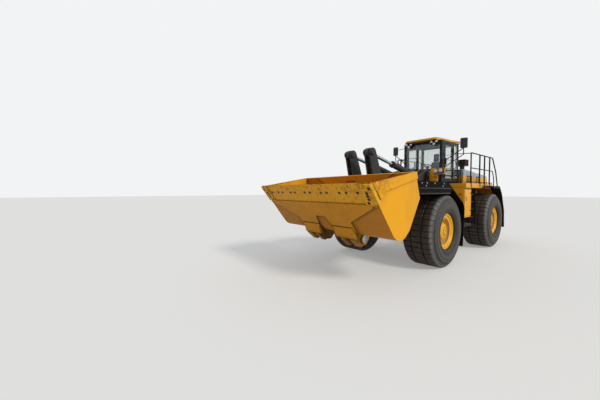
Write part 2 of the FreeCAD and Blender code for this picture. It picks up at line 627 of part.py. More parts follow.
def make_front_frame():
    plates = [tower(y) for y in TOWER_Y]
    plates.append(across(ARM_PIVOT, 150, (TOWER_Y[0][0], ARM_Y[0] - SIDE_GAP)))
    plates.append(across(ARM_PIVOT, 150, (ARM_Y[1] + SIDE_GAP, TOWER_Y[1][1] + 20)))
    plates.append(across(ARM_PIVOT, PIN_R, (TOWER_Y[0][0], TOWER_Y[1][1])))
    plates.append(across(LIFT_FOOT, SMALL_PIN_R, (TOWER_Y[0][0], TOWER_Y[1][1])))
    ear = side_plate([(900, 2900), (1050, 3480, 150), (1560, 3480, 150), (1650, 2900)], (240, 300))
    plates += [ear, across(TILT_FOOT, SMALL_PIN_R, (240, TOWER_Y[0][0] + 1))]
    steer = []
    x, y = STEER_EYE
    for z in ((STEER_Z - 150, STEER_Z - 90), (STEER_Z + 90, STEER_Z + 150)):
        steer.append(flat_plate([(700, 560), (700, 960), (x + 60, y + 130, 100), (x - 100, y + 130, 90),
                                 (x - 100, y - 120, 90)], z))
    for z in ((STEER_Z - 175, STEER_Z - 149), (STEER_Z + 149, STEER_Z + 175)):
        steer.append(upright(x, y, SMALL_PIN_R, z))
    inner = TOWER_Y[0][0]
    middle = [box((400, 480), (-inner, inner), (720, 2230)),
              box((2500, 2600), (-inner, inner), (1200, 2000)),
              box((900, 1700), (-inner, inner), (2830, 2910)),
              box((900, 980), (-inner, inner), (2250, 2900)),
              box((3100, 3200), (-inner, inner), (1050, 1850)),
              box((3100, 3200), (-TOWER_Y[1][1], TOWER_Y[1][1]), (1050, 1350))]
    ties = [box((1300, 2300), (TOWER_Y[0][1] - 1, TOWER_Y[1][0] + 1), (820, 880)),
            box((1300, 2300), (TOWER_Y[0][1] - 1, TOWER_Y[1][0] + 1), (1500, 1560))]
    body = fused(pair(plates + steer + ties) + middle)
    for z in (HITCH_LOWER_Z, HITCH_UPPER_Z):
        hinge, bore = hitch_ear(z)
        body = body.fuse(hinge).cut(bore)
    for side in (-1, 1):
        y = sorted((side * (TOWER_Y[1][0] - 1), side * (TOWER_Y[1][1] + 1)))
        body = body.cut(across(TIE_HOLE, TIE_R, y))
    axle_space = across(Vector(AXLE_X, 0, TYRE_R), AXLE_SEAT_R, (-1100, 1100))
    save("front_frame", [body.cut(axle_space).removeSplitter()])


def make_front_axle():
    body = axle(AXLE_X, (TOWER_Y[0][0] + 5, TOWER_Y[0][1] - 5))
    seat = across(Vector(AXLE_X, 0, TYRE_R), AXLE_SEAT_R - SEAT_GAP, (-TRACK, TRACK))
    save("front_axle", [body.common(seat)])


def make_front_fenders():
    top, inside = FENDER_TOP_Z, FENDER_TOP_Z - SHEET
    outline = [(FENDER_FRONT, inside), (2850, inside, 150), (1455, 2255, 170), (1290, 2050, 120), (1340, 1300), (1400, 600),
               (1360, 600), (1300, 1300), (1250, 2060, 150), (1430, 2290, 200), (2840, top, 190), (FENDER_FRONT, top)]
    skin = side_plate(outline, FENDER_Y)
    skirt_y = (FENDER_Y[1] - 35, FENDER_Y[1])
    skirt = side_plate([(FENDER_FRONT, inside), (FENDER_FRONT, 2700, 60), (4500, 2640, 60), (2650, 2640, 100),
                        (2450, inside - 180), (2850, inside)], skirt_y)
    band = side_plate([(FENDER_FRONT, top), (FENDER_FRONT, 2860), (2560, 2860), (2900, top)],
                      (skirt_y[0], FENDER_Y[1] + 15))
    lip = box((FENDER_FRONT - 40, FENDER_FRONT), FENDER_Y, (inside - 120, top))
    brackets = [box((1450, 1530), (TOWER_Y[1][1], 1100), (2120, 2300)),
                box((1420, 2500), (TOWER_Y[1][1], 1020), (2100, 2160)),
                box((1600, 1660), (TOWER_Y[1][1], 1040), (2130, 2370)),
                box((2900, 2980), (TOWER_Y[1][1], FENDER_Y[0] + 60), (1720, inside + 1))]
    save("front_fenders", pair([fused([skin, skirt, band, lip] + brackets)]))


def make_head_lamps():
    x, y, z = 1450, 1000, 3100
    post = box((x, x + 60), (TOWER_Y[1][1], y + 380), (z, z + 600))
    lamps = []
    for dy in (90, 270):
        lamps.append(rod(Vector(x + 59, y + dy, z + 430), Vector(x + 150, y + dy, z + 430), 75))
        lamps.append(rod(Vector(x + 59, y + dy, z + 180), Vector(x + 110, y + dy, z + 180), 50))
    save("head_lamps", pair([fused([post] + lamps)]))


# Lift arms, bellcranks, links

ARM_DX = BUCKET_PIN.x - ARM_PIVOT.x
ARM_DZ = BUCKET_PIN.z - ARM_PIVOT.z
ARM_LENGTH = math.hypot(ARM_DX, ARM_DZ)


def on_arm(back, height):
    """Point back along the arm from the bucket pin, and height above its centre line."""
    ux, uz = ARM_DX / ARM_LENGTH, ARM_DZ / ARM_LENGTH
    return BUCKET_PIN.x - ux * back - uz * height, BUCKET_PIN.z - uz * back + ux * height


def make_lift_arms():
    edge = [(0, 195), (350, 200, 300), (900, 330, 600), (2300, 430, 900), (4300, 300, 600), (ARM_LENGTH, 275),
            (ARM_LENGTH, -275), (4300, -290, 600), (2700, -360, 600), (900, -300, 600), (350, -205, 300),
            (0, -195)]
    outline = [on_arm(p[0], p[1]) + tuple(p[2:]) for p in edge]
    arm = [side_plate(outline, ARM_Y),
           across(BUCKET_PIN, 195, (LUG_Y[0][1] + SIDE_GAP, LUG_Y[1][0] - SIDE_GAP)),
           across(ARM_PIVOT, 275, (ARM_Y[0], ARM_Y[1]))]
    tube_at = Vector(3930, 0, 2050)
    bracket = [(tube_at.x - 170, tube_at.z + 60, 60), (CRANK_PIVOT.x - 220, CRANK_PIVOT.z + 210, 200),
               (CRANK_PIVOT.x + 210, CRANK_PIVOT.z + 210, 200),
               (CRANK_PIVOT.x + 210, CRANK_PIVOT.z - 200, 180), (tube_at.x + 170, tube_at.z - 120, 60)]
    for y in BRACKET_Y:
        arm.append(side_plate(bracket, y))
    arm.append(across(CRANK_PIVOT, PIN_R, (BRACKET_Y[0][0], BRACKET_Y[1][1])))
    fork = [(LIFT_EYE.x - 140, LIFT_EYE.z - 20, 100), (LIFT_EYE.x - 230, LIFT_EYE.z + 540),
            (LIFT_EYE.x + 440, LIFT_EYE.z + 400), (LIFT_EYE.x + 170, LIFT_EYE.z - 130, 120),
            (LIFT_EYE.x - 60, LIFT_EYE.z - 150, 60)]
    arm.append(side_plate(fork, (640, 675)))
    arm.append(side_plate(fork, (845, 880)))
    tube = across(tube_at, 200, (-700, 700))
    body = fused(pair(arm) + [tube])
    for point, radius in ((BUCKET_PIN, PIN_R), (ARM_PIVOT, PIN_R)):
        for side in (-1, 1):
            y = (min(side * 560, side * 940), max(side * 560, side * 940))
            body = body.cut(across(point, radius + PIN_FIT, y))
    save("lift_arms", [body])


def make_bellcranks():
    c, t, q = CRANK_PIVOT, CRANK_TOP, CRANK_LOW
    outline = [(q.x - 190, q.z - 190, 180), (c.x - 290, c.z + 60, 400), (t.x - 190, t.z + 150, 170),
               (t.x + 170, t.z + 170, 170), (c.x + 290, c.z - 100, 400), (q.x + 200, q.z - 190, 180)]
    plates = [side_plate(outline, y) for y in CRANK_Y]
    web = side_plate([(c.x - 180, c.z - 500), (c.x - 170, c.z + 200), (t.x - 200, t.z - 450),
                      (t.x - 60, t.z - 500), (c.x + 120, c.z + 100), (c.x + 120, c.z - 400)],
                     (CRANK_Y[0][0], CRANK_Y[1][1]))
    heads = []
    for y in ((CRANK_Y[0][0] - 40, CRANK_Y[0][0] + 1), (CRANK_Y[1][1] - 1, CRANK_Y[1][1] + 40)):
        heads += [across(t, 120, y), across(q, 110, y)]
    body = fused(plates + [web] + heads + [across(c, 200, (CRANK_Y[0][0] - 5, CRANK_Y[1][1] + 5))])
    body = body.cut(across(c, PIN_R + PIN_FIT, (200, 700)))
    save("bellcranks", pair([body]))


EAR_OFF = turned(EAR_X, EAR_Z, BUCKET_ROLL)
EAR = Vector(BUCKET_PIN.x + EAR_OFF[0], 0, BUCKET_PIN.z + EAR_OFF[1])


def make_bucket_links():
    bar = capsule(EAR, CRANK_LOW, 105, LINK_Y)
    bar = fused([bar, across(EAR, 128, LINK_Y), across(CRANK_LOW, 135, LINK_Y)])
    bore = across(CRANK_LOW, SMALL_PIN_R, (LINK_Y[0] - 1, LINK_Y[1] + 1))
    bore_ear = across(EAR, SMALL_PIN_R + PIN_FIT, (LINK_Y[0] - 1, LINK_Y[1] + 1))
    save("bucket_links", pair([bar.cut(bore).cut(bore_ear)]))


# Bucket, drawn level and rolled back about its pin

def rolled(shape):
    """Turn a piece of the level bucket into its carrying pose."""
    shape = shape.copy()
    shape.rotate(Vector(0, 0, 0), Vector(0, 1, 0), -BUCKET_ROLL)
    return shape.translated(BUCKET_PIN)


def bucket_section(inset, reach):
    """Section of the bucket, inset by a wall and pushed out of its mouth by reach."""
    slant = math.hypot(BACK_TOP[0] - HEEL_X, BACK_TOP[1] - 450)
    nx, nz = (BACK_TOP[1] - 450) / slant, -(BACK_TOP[0] - HEEL_X) / slant
    heel = HEEL_X + inset
    low_back = 450 + inset * (nx - 1) / -nz if inset else 450
    ux = SPILL_TOP[0] - BACK_TOP[0]
    uz = SPILL_TOP[1] - BACK_TOP[1]
    spill = math.hypot(ux, uz)
    sx, sz = uz / spill, -ux / spill
    top = (SPILL_TOP[0] + sx * inset + ux / spill * reach, SPILL_TOP[1] + sz * inset + uz / spill * reach)
    det = (BACK_TOP[0] - HEEL_X) * uz - (BACK_TOP[1] - 450) * ux
    a = (heel, low_back)
    b = (SPILL_TOP[0] + sx * inset, SPILL_TOP[1] + sz * inset)
    t = ((b[0] - a[0]) * uz - (b[1] - a[1]) * ux) / det
    back = (a[0] + t * (BACK_TOP[0] - HEEL_X), a[1] + t * (BACK_TOP[1] - 450))
    return [(FLOOR_FRONT + reach, FLOOR_Z + inset), (heel, FLOOR_Z + inset, HEEL_R - inset),
            a, back, top]


def floor_wear_plate():
    """Plate under the floor, narrowed by two diagonals and notched between the lug boxes."""
    half = BUCKET_HALF - 40
    right = [(FLOOR_FRONT - 70, half), (1580, half - 160), (980, 1170), (560, 1170), (560, 360), (800, 290), (1120, 200)]
    outline = [(FLOOR_FRONT, half)] + right + [(x, -y) for x, y in reversed(right)] + [(FLOOR_FRONT, -half)]
    return flat_plate(outline, (FLOOR_Z - WEAR_T, FLOOR_Z + 1))


def make_bucket_shell():
    half = BUCKET_HALF
    outer = side_plate(bucket_section(0, 0), (-half, half))
    inner = side_plate(bucket_section(SHELL_T, 400), (-half + SHELL_T, half - SHELL_T))
    shell = outer.cut(inner)
    side = []
    edge_top = FLOOR_Z + EDGE_T + SEAT_GAP
    mouth = [(LIP_X - 110, edge_top), (SPILL_TOP[0], SPILL_TOP[1]),
             (BACK_TOP[0] + 300, BACK_TOP[1] + 20), (FLOOR_FRONT - 250, edge_top)]
    side.append(side_plate(mouth, (half - SHELL_T, half)))
    strip = [(LIP_X - 60, LIP_Z + 60), (SPILL_TOP[0], SPILL_TOP[1]), (SPILL_TOP[0] - 190, SPILL_TOP[1] - 75),
             (SPILL_TOP[0] - 125, SPILL_TOP[1] - 215), (FLOOR_FRONT + 70, 210), (FLOOR_FRONT + 70, LIP_Z + 90)]
    side.append(side_plate(strip, (half - 1, half + CUTTER_T)))
    lug = [(620, FLOOR_Z + 10), (360, -330, 120), (-60, -235, 150), (-235, -40, 150), (-200, 190, 120),
           (-60, 480, 120), (190, 760), (200, 760), (200, 180), (400, -140), (640, FLOOR_Z + 20)]
    for y in LUG_Y:
        side.append(side_plate(lug, y))
    side.append(side_plate([(-110, 330, 90), (-80, 520, 90), (185, 620), (200, 620), (200, 200), (90, 240, 60)],
                           (280, 360)))
    shoe = [(740, FLOOR_Z + 1), (735, -280), (375, -385), (330, -350), (345, -300), (620, FLOOR_Z + 5)]
    side.append(side_plate(shoe, (LUG_Y[0][0] - 210, LUG_Y[1][1] + 110)))
    heel = [(350, -320), (360, -395, 30), (-40, -300, 30), (-80, -240), (-60, -200)]
    for y in ((LUG_Y[0][0], ARM_Y[0] - SIDE_GAP), (ARM_Y[1] + SIDE_GAP, LUG_Y[1][1] + 70)):
        side.append(side_plate(heel, y))
    pin = Vector(0, 0, 0)
    side.append(across(pin, PIN_R, (LUG_Y[0][0], LUG_Y[1][1] + 40)))
    side.append(across(pin, 145, (LUG_Y[1][1] - 1, LUG_Y[1][1] + 40)))
    side.append(across(Vector(EAR_X, 0, EAR_Z), SMALL_PIN_R, (280, LUG_Y[0][0] + 10)))
    save("bucket_shell", [rolled(fused([shell, floor_wear_plate()] + pair(side)))])


def make_bucket_edge():
    back = FLOOR_FRONT + SEAT_GAP
    edge = [(back, FLOOR_Z), (LIP_X - 200, FLOOR_Z), (LIP_X, LIP_Z),
            (LIP_X - 40, FLOOR_Z + EDGE_T), (back, FLOOR_Z + EDGE_T)]
    width = BUCKET_HALF + CUTTER_T
    plate = side_plate(edge, (-width, width))
    inner = width - 365
    corner = [(FLOOR_FRONT + SEAT_GAP, inner), (LIP_X - 380, inner), (LIP_X - 30, inner + 70), (LIP_X - 20, width),
              (FLOOR_FRONT + SEAT_GAP, width)]
    save("bucket_edge", [rolled(fused([plate] + pair([flat_plate(corner, (FLOOR_Z - WEAR_T, FLOOR_Z + 12))])))])


# Cylinders: a barrel with a foot eye and a rod with an end eye

def barrel(foot, eye, length, radius, rod_radius, y, pin_r, width):
    """Barrel from its foot towards the eye, bored for the rod."""
    along = (eye - foot).normalize()
    start = Vector(foot.x, y, foot.z)
    body = [rod(start, start + along * length, radius),
            rod(start + along * (length - 90), start + along * length, radius + 12),
            across(foot, pin_r + 75, (y - width / 2, y + width / 2))]
    bore = rod(start + along * (pin_r + 100), start + along * (length + 1), rod_radius + PIN_FIT)
    return fused(body).cut(bore).cut(across(foot, pin_r + PIN_FIT, (y - 200, y + 200)))


def piston_rod(foot, eye, inner, radius, y, eye_r, width):
    """Rod from inside the barrel to the eye at its end."""
    along = (eye - foot).normalize()
    start = Vector(foot.x, y, foot.z) + along * inner
    end = Vector(eye.x, y, eye.z)
    body = fused([rod(start, end, radius), across(eye, eye_r, (y - width / 2, y + width / 2))])
    return body.cut(across(eye, eye_r * 0.5, (y - width, y + width)))


def make_cylinders():
    save("tilt_barrels", pair([barrel(TILT_FOOT, CRANK_TOP, 2120, 118, 65, TILT_Y, SMALL_PIN_R, 230)]))
    save("tilt_rods", pair([piston_rod(TILT_FOOT, CRANK_TOP, 1300, 65, TILT_Y, 150, 116)]))
    save("lift_barrels", pair([barrel(LIFT_FOOT, LIFT_EYE, 1700, 115, 65, CYL_Y, SMALL_PIN_R, 220)]))
    save("lift_rods", pair([piston_rod(LIFT_FOOT, LIFT_EYE, 435, 65, CYL_Y, 110, 150)]))


def steer_cylinder(side):
    """Barrel and rod of one steering cylinder, lying level beside the hitch."""
    foot = Vector(STEER_FOOT[0], side * STEER_FOOT[1], STEER_Z)
    eye = Vector(STEER_EYE[0], side * STEER_EYE[1], STEER_Z)
    along = (eye - foot).normalize()
    foot_eye = upright(foot.x, foot.y, 110, (STEER_Z - 75, STEER_Z + 75))
    body = fused([rod(foot, foot + along * 1400, 85), foot_eye])
    body = body.cut(rod(foot + along * 300, foot + along * 1401, 50 + PIN_FIT))
    body = body.cut(upright(foot.x, foot.y, SMALL_PIN_R * 0.7 + PIN_FIT, (STEER_Z - 90, STEER_Z + 90)))
    end_eye = upright(eye.x, eye.y, 105, (STEER_Z - 75, STEER_Z + 75))
    stem = fused([rod(foot + along * 820, eye, 50), end_eye])
    stem = stem.cut(upright(eye.x, eye.y, 55, (STEER_Z - 90, STEER_Z + 90)))
    return body, stem


def make_steering():
    for name, side in (("left", 1), ("right", -1)):
        body, stem = steer_cylinder(side)
        save("steer_barrel_" + name, [body])
        save("steer_rod_" + name, [stem])


# Wheels

def make_wheels():
    half = TYRE_W / 2
    low, high = -GROOVE_Y - GROOVE_W / 2, -GROOVE_Y + GROOVE_W / 2
    groove = [(TYRE_R, low), (TYRE_R - GROOVE_DEPTH, low), (TYRE_R - GROOVE_DEPTH, high), (TYRE_R, high)]
    tyre = [(RIM_R, -half + 100), (RIM_R + 60, -half + 20, 50), (960, -half, 200), (1190, -half + 60, 90),
            (TYRE_R - 10, -half + 170, 60)] + groove + [(r, -a) for r, a in reversed(groove)] + [
            (TYRE_R - 10, half - 170, 60), (1190, half - 60, 90), (960, half, 200),
            (RIM_R + 60, half - 20, 50), (RIM_R, half - 100)]
    rim = [(0, -HUB_IN), (HUB_R, -HUB_IN), (HUB_R, 160), (RIM_R - 110, 260), (RIM_R - 60, -half + 120),
           (RIM_R - 0.5, -half + 120), (RIM_R - 0.5, half - 120), (RIM_R - 60, half - 120),
           (RIM_R - 100, half - 170), (RING_R, half - 190), (RING_R - 30, half - 290), (HUB_R + 70, half - 310),
           (HUB_R + 20, HUB_OUT - 40), (HUB_R - 70, HUB_OUT, 30), (0, HUB_OUT)]
    for end, x in (("front", AXLE_X), ("rear", -AXLE_X)):
        for name, side in (("left", 1), ("right", -1)):
            centre = Vector(x, side * TRACK / 2, TYRE_R)
            save("tyre_" + end + "_" + name, [revolved(tyre, centre, side)])
            save("rim_" + end + "_" + name, [revolved(rim, centre, side)])


def main():
    make_rear_frame()
    make_steer_brackets()
    make_rear_axle()
    make_counterweight()
    make_engine()
    make_engine_hood()
    make_radiator_grille()
    make_intake_stacks()
    make_cab_frame()
    make_cab_roof()
    make_cab_windows()
    make_cab_door()
    make_operator_seat()
    make_cab_console()
    make_cab_lamps()
    make_mirrors()
    make_decks()
    make_handrails()
    make_ladders()
    make_cabinets()
    make_rear_fenders()
    make_front_frame()
    make_front_axle()
    make_front_fenders()
    make_head_lamps()
    make_lift_arms()
    make_bellcranks()
    make_bucket_links()
    make_bucket_shell()
    make_bucket_edge()
    make_cylinders()
    make_steering()
    make_wheels()


main()
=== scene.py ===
import math

import bpy
from mathutils import Matrix, Vector


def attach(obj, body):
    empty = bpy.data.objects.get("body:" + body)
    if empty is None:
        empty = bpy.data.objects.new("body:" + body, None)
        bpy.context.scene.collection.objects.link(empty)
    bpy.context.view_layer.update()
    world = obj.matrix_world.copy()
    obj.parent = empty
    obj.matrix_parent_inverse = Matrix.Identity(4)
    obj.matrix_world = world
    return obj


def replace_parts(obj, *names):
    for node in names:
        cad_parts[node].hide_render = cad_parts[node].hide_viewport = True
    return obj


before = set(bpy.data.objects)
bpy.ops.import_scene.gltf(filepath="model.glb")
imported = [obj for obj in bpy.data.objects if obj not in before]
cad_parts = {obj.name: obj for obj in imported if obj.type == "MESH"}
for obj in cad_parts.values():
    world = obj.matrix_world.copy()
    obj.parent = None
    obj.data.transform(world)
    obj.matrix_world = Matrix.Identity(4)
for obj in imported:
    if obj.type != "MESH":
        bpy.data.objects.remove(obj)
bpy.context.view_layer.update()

# View, floor and light: the machine stands on a pale studio floor, seen from the left front corner
# at head height. A broad lamp on the left stands for a hazy sun, and the pale surroundings fill in.
VIEW_FROM = (11.7025, 5.978, 2.732)
VIEW_YAW = 4.031
VIEW_PITCH = -0.035
VIEW_LENS = 15.48
FLOOR_SIZE = 300
FLOOR_SHARE = 0.3
LAMP_FROM = Vector((-0.05, 0.8, 0.62))
LAMP_POWER = 1.78
LAMP_SPREAD = math.radians(14)
FILL_POWER = 0.66


def colour(code):
    """Linear colour from an sRGB hex code."""
    parts = [int(code[i:i + 2], 16) / 255 for i in (1, 3, 5)]
    return tuple(p / 12.92 if p <= 0.04045 else ((p + 0.055) / 1.055) ** 2.4 for p in parts) + (1.0,)


def blank(name):
    """A material with nodes that are still to be added."""
    material = bpy.data.materials.new(name)
    material.use_nodes = True
    material.node_tree.nodes.clear()
    return material


def add(material, kind, *inputs, out=0, **settings):
    """Add a node and give the output named by out. Inputs fill its sockets in order, with a value, a
    hex colour or what feeds them. Settings name a socket, a numbered one as i6, or a property."""
    tree = material.node_tree
    made = tree.nodes.new("ShaderNode" + kind)
    sockets = dict(enumerate(inputs))
    for key, value in settings.items():
        if key == "stops":
            points = made.color_ramp.elements
            while len(points) < len(value):
                points.new(0.5)
            for point, (place, tone) in zip(points, value):
                point.position = place
                point.color = colour(tone) if isinstance(tone, str) else (tone, tone, tone, 1)
        elif key[0].isupper():
            sockets[key.replace("_", " ")] = value
        elif key[1:].isdigit():
            sockets[int(key[1:])] = value
        else:
            setattr(made, key, value)
    for key, value in sockets.items():
        if isinstance(value, bpy.types.NodeSocket):
            tree.links.new(value, made.inputs[key])
        else:
            made.inputs[key].default_value = colour(value) if isinstance(value, str) else value
    return made.outputs[out] if made.outputs else None


def seen_rays(owner):
    """White for rays from the camera, off gloss and through glass, black for light that fills in."""
    path = add(owner, "LightPath").node.outputs
    direct = add(owner, "Math", path["Is Camera Ray"], path["Is Glossy Ray"], operation="MAXIMUM")
    return add(owner, "Math", direct, path["Is Transmission Ray"], operation="MAXIMUM")


floor_paint = blank("studio_floor_paint")
matte = add(floor_paint, "BsdfDiffuse", Color="#E6E5E2")
lit = add(floor_paint, "Emission", Color="#F0F0EE")
share = add(floor_paint, "Math", seen_rays(floor_paint), FLOOR_SHARE, operation="MULTIPLY")
add(floor_paint, "OutputMaterial", add(floor_paint, "MixShader", share, matte, lit))
bpy.ops.mesh.primitive_plane_add(size=FLOOR_SIZE)
studio_floor = bpy.context.object
studio_floor.name = "studio_floor"
studio_floor.data.materials.append(floor_paint)

world = bpy.data.worlds.new("pale_surroundings")
bpy.context.scene.world = world
world.use_nodes = True
world.node_tree.nodes.clear()
fill = add(world, "Background", Color="#E6EBF2", Strength=FILL_POWER)
backdrop = add(world, "Background", Color="#F2F3F4", Strength=1.0)
add(world, "OutputWorld", add(world, "MixShader", seen_rays(world), fill, backdrop))

bpy.ops.object.light_add(type="SUN", location=(0, 20, 20))
left_lamp = bpy.context.object
left_lamp.rotation_euler = (-LAMP_FROM).to_track_quat("-Z", "Y").to_euler()
left_lamp.data.energy = LAMP_POWER
left_lamp.data.angle = LAMP_SPREAD
left_lamp.data.color = (1.0, 0.96, 0.9)

ahead = Vector((math.cos(VIEW_YAW) * math.cos(VIEW_PITCH), math.sin(VIEW_YAW) * math.cos(VIEW_PITCH),
                math.sin(VIEW_PITCH)))
bpy.ops.object.camera_add(location=VIEW_FROM, rotation=ahead.to_track_quat("-Z", "Y").to_euler())
camera = bpy.context.object
camera.data.lens = VIEW_LENS
camera.data.sensor_width = 36
camera.data.clip_end = 400
bpy.context.scene.camera = camera
bpy.context.scene.view_settings.view_transform = "Standard"


# Frames, axles, tower and steering brackets: flame-cut and welded plate, sprayed in charcoal enamel.
# It is semi-gloss where clean, greyed by road dust, and rubbed to bare steel along its edges.
def mottle(material, size, detail=4, rough=0.6, stretch=None, turn=0):
    """Noise on Object coordinates, its patches about size metres across."""
    place = add(material, "TexCoord", out="Object")
    if stretch:
        place = add(material, "Mapping", place, Scale=stretch, Rotation=(0, turn, 0))
    return add(material, "TexNoise", place, Scale=1 / size, Detail=detail, Roughness=rough)


def patches(material, pattern, *stops):
    """Noise with mottle's size, detail and roughness, turned to tones or grey levels by stops."""
    return add(material, "ValToRGB", mottle(material, *pattern), stops=stops)


def where_all(material, mask, *others):
    """Mask that is white only where every mask is; a number dims it."""
    for other in others:
        mask = add(material, "Math", mask, other, operation="MULTIPLY", use_clamp=True)
    return mask


def over(material, below, tone, *masks):
    """Lay a hex tone over a colour, where every mask is white."""
    return add(material, "Mix", where_all(material, *masks), data_type="RGBA", i6=below, i7=tone, out=2)


def edge_mask(material, reach):
    """White along outside and inside edges, within reach metres of them."""
    rounded = add(material, "Bevel", samples=4, Radius=reach)
    flat = add(material, "NewGeometry", out="Normal")
    bend = add(material, "VectorMath", rounded, flat, operation="DOT_PRODUCT", out="Value")
    return add(material, "ValToRGB", bend, stops=((0.88, 1.0), (0.99, 0.0)))


def beyond(material, axis, start, full):
    """Grey level that grows along an Object axis, from black at start to white at full."""
    place = add(material, "SeparateXYZ", add(material, "TexCoord", out="Object"), out=axis)
    return add(material, "MapRange", place, From_Min=start, From_Max=full)


def corner_soil_and_shade(material, reach, most=0.75):
    """Mask of soil and painted shade in corners, darkest where ambient occlusion is, within reach metres of them."""
    open_sky = add(material, "AmbientOcclusion", samples=5, Distance=reach, out="AO")
    return add(material, "ValToRGB", open_sky, stops=((0.3, most), (0.85, 0.0)))


def enamel(name, tone, shade, sand, gloss=0.32, chips=0.0, steel="#4A433C", sand_tone="#B08C5C",
           second=None, shine=0.25, soil_shade_strength=0.75):
    """Sprayed enamel in tone and a duller shade, with settled sand, chipped edges, and soil with painted shade
    in corners; second is another coat as (hex tone, function that gives its mask)."""
    paint = blank(name)
    fade = patches(paint, (1.1, 5, 0.62), (0.4, 0.0), (0.72, 1.0))
    body = over(paint, tone, shade, fade)
    if second:
        body = over(paint, body, second[0], second[1](paint))
    specks = mottle(paint, 0.16, 8, 0.7)
    dust = add(paint, "ValToRGB", specks, stops=((0.4, 0.0), (0.75, 1.0)))
    body = over(paint, body, sand_tone, dust, sand)
    splashes = patches(paint, (0.35, 7, 0.68), (0.42, 0.0), (0.62, soil_shade_strength))
    body = over(paint, body, sand_tone, beyond(paint, "Z", 1.7, 0.5), splashes)
    # Soil and painted shade: a dark brown laid into corners by ambient occlusion.
    body = over(paint, body, "#2A1F14", corner_soil_and_shade(paint, 0.3, soil_shade_strength))
    if chips:
        flakes = patches(paint, (0.09, 9, 0.75), (0.5, 0.0), (0.57, 1.0))
        body = over(paint, body, steel, edge_mask(paint, 0.018), flakes, chips)
    rough = add(paint, "ValToRGB", specks, stops=((0.35, gloss), (0.75, min(gloss + 0.3, 0.9))))
    peel = add(paint, "Bump", Strength=0.08, Distance=0.004, Height=specks)
    add(paint, "OutputMaterial", add(paint, "BsdfPrincipled", body, IOR=1.5, Specular_IOR_Level=shine,
                                     Coat_Weight=0.03, Coat_Roughness=0.15, Roughness=rough, Normal=peel))
    return paint


def dress(material, slot, *nodes):
    """Give CAD nodes one material. Slot, the finish that it stands for, is not used."""
    for name in nodes:
        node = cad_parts[name]
        node.data.materials.clear()
        node.data.materials.append(material)


charcoal = enamel("charcoal_enamel", "#1C1D1F", "#161718", 0.22, 0.45, chips=0.6, steel="#77716A",
                  sand_tone="#6B5F51", shine=0.15)
dress(charcoal, "black_paint", "rear_frame", "steer_brackets", "rear_axle", "front_frame", "front_axle",
      "steer_barrel_left", "steer_barrel_right")


# Frame fasteners: the axle pads are bolted up with large hexagon bolts, plain steel that has browned.
# One bolt is spun and capped, then copied to each place.
def at(x, y, z):
    """Place given in millimetres from the articulation pin."""
    return Vector((x / 1000 - 0.7905, y / 1000, z / 1000))


def use(*pieces):
    """Select these pieces alone, the first of them active."""
    bpy.ops.object.select_all(action="DESELECT")
    for piece in pieces:
        piece.select_set(True)
    bpy.context.view_layer.objects.active = pieces[0]


def draw(name, points, fill=True):
    """Draw edges through points from one vertex, fill them if asked, and stay in edit mode."""
    bpy.ops.object.select_all(action="DESELECT")
    bpy.ops.mesh.primitive_plane_add(size=0.01)
    piece = bpy.context.object
    piece.name = piece.data.name = name
    bpy.ops.object.mode_set(mode="EDIT")
    bpy.ops.mesh.select_all(action="SELECT")
    bpy.ops.mesh.merge(type="CENTER")
    here = Vector((0, 0, 0))
    for i, point in enumerate(points):
        step = Vector(point) - here
        if i == 0:
            bpy.ops.transform.translate(value=step)
        else:
            bpy.ops.mesh.extrude_region_move(TRANSFORM_OT_translate={"value": step})
        here = Vector(point)
    bpy.ops.mesh.select_all(action="SELECT")
    if fill:
        bpy.ops.mesh.edge_face_add()
    return piece


def close_up(merge=0.0002):
    """Merge doubles, turn the faces outwards and leave edit mode."""
    bpy.ops.mesh.select_all(action="SELECT")
    bpy.ops.mesh.remove_doubles(threshold=merge)
    bpy.ops.mesh.normals_make_consistent(inside=False)
    bpy.ops.object.mode_set(mode="OBJECT")


def spun(name, profile, centre=(0, 0, 0), axis=(0, 1, 0), steps=48):
    """Body spun about an axis; the profile is (radius, distance along the axis)."""
    axis = Vector(axis).normalized()
    out = axis.orthogonal().normalized()
    piece = draw(name, [Vector(centre) + out * r + axis * a for r, a in profile], fill=False)
    bpy.ops.mesh.spin(steps=steps, angle=2 * math.pi, center=centre, axis=axis)
    close_up()
    return piece


def joined(name, pieces):
    """Make one piece of several."""
    use(*pieces)
    if len(pieces) > 1:
        bpy.ops.object.join()
    pieces[0].name = pieces[0].data.name = name
    return pieces[0]


def copy_to(piece, place):
    """One copy of a piece, with its own mesh, moved by a matrix."""
    other = piece.copy()
    other.data = piece.data.copy()
    other.data.transform(place)
    if place.determinant() < 0:
        other.data.flip_normals()
    bpy.context.scene.collection.objects.link(other)
    return other


def copies(name, piece, places):
    """One piece made of a copy of a pattern at each matrix; the pattern itself goes."""
    made = [copy_to(piece, place) for place in places]
    bpy.data.objects.remove(piece)
    return joined(name, made)


def settle(piece, body, material, smooth=35):
    """Finish a piece: material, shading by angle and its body."""
    piece.data.materials.clear()
    piece.data.materials.append(material)
    use(piece)
    bpy.ops.object.shade_smooth_by_angle(angle=math.radians(smooth))
    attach(piece, body)
    return piece


def settle_pair(name, pieces, body, material):
    """Join pieces of the left side, add their mirror image on the right, and finish them as one."""
    left = joined(name, pieces)
    both = joined(name, [left, copy_to(left, Matrix.Scale(-1, 4, (0, 1, 0)))])
    return settle(both, body, material)


def facing(place, axis):
    """Matrix that sets a pattern made along Z at a place in millimetres, turned to an axis."""
    return Matrix.Translation(at(*place)) @ Vector(axis).to_track_quat("Z", "Y").to_matrix().to_4x4()


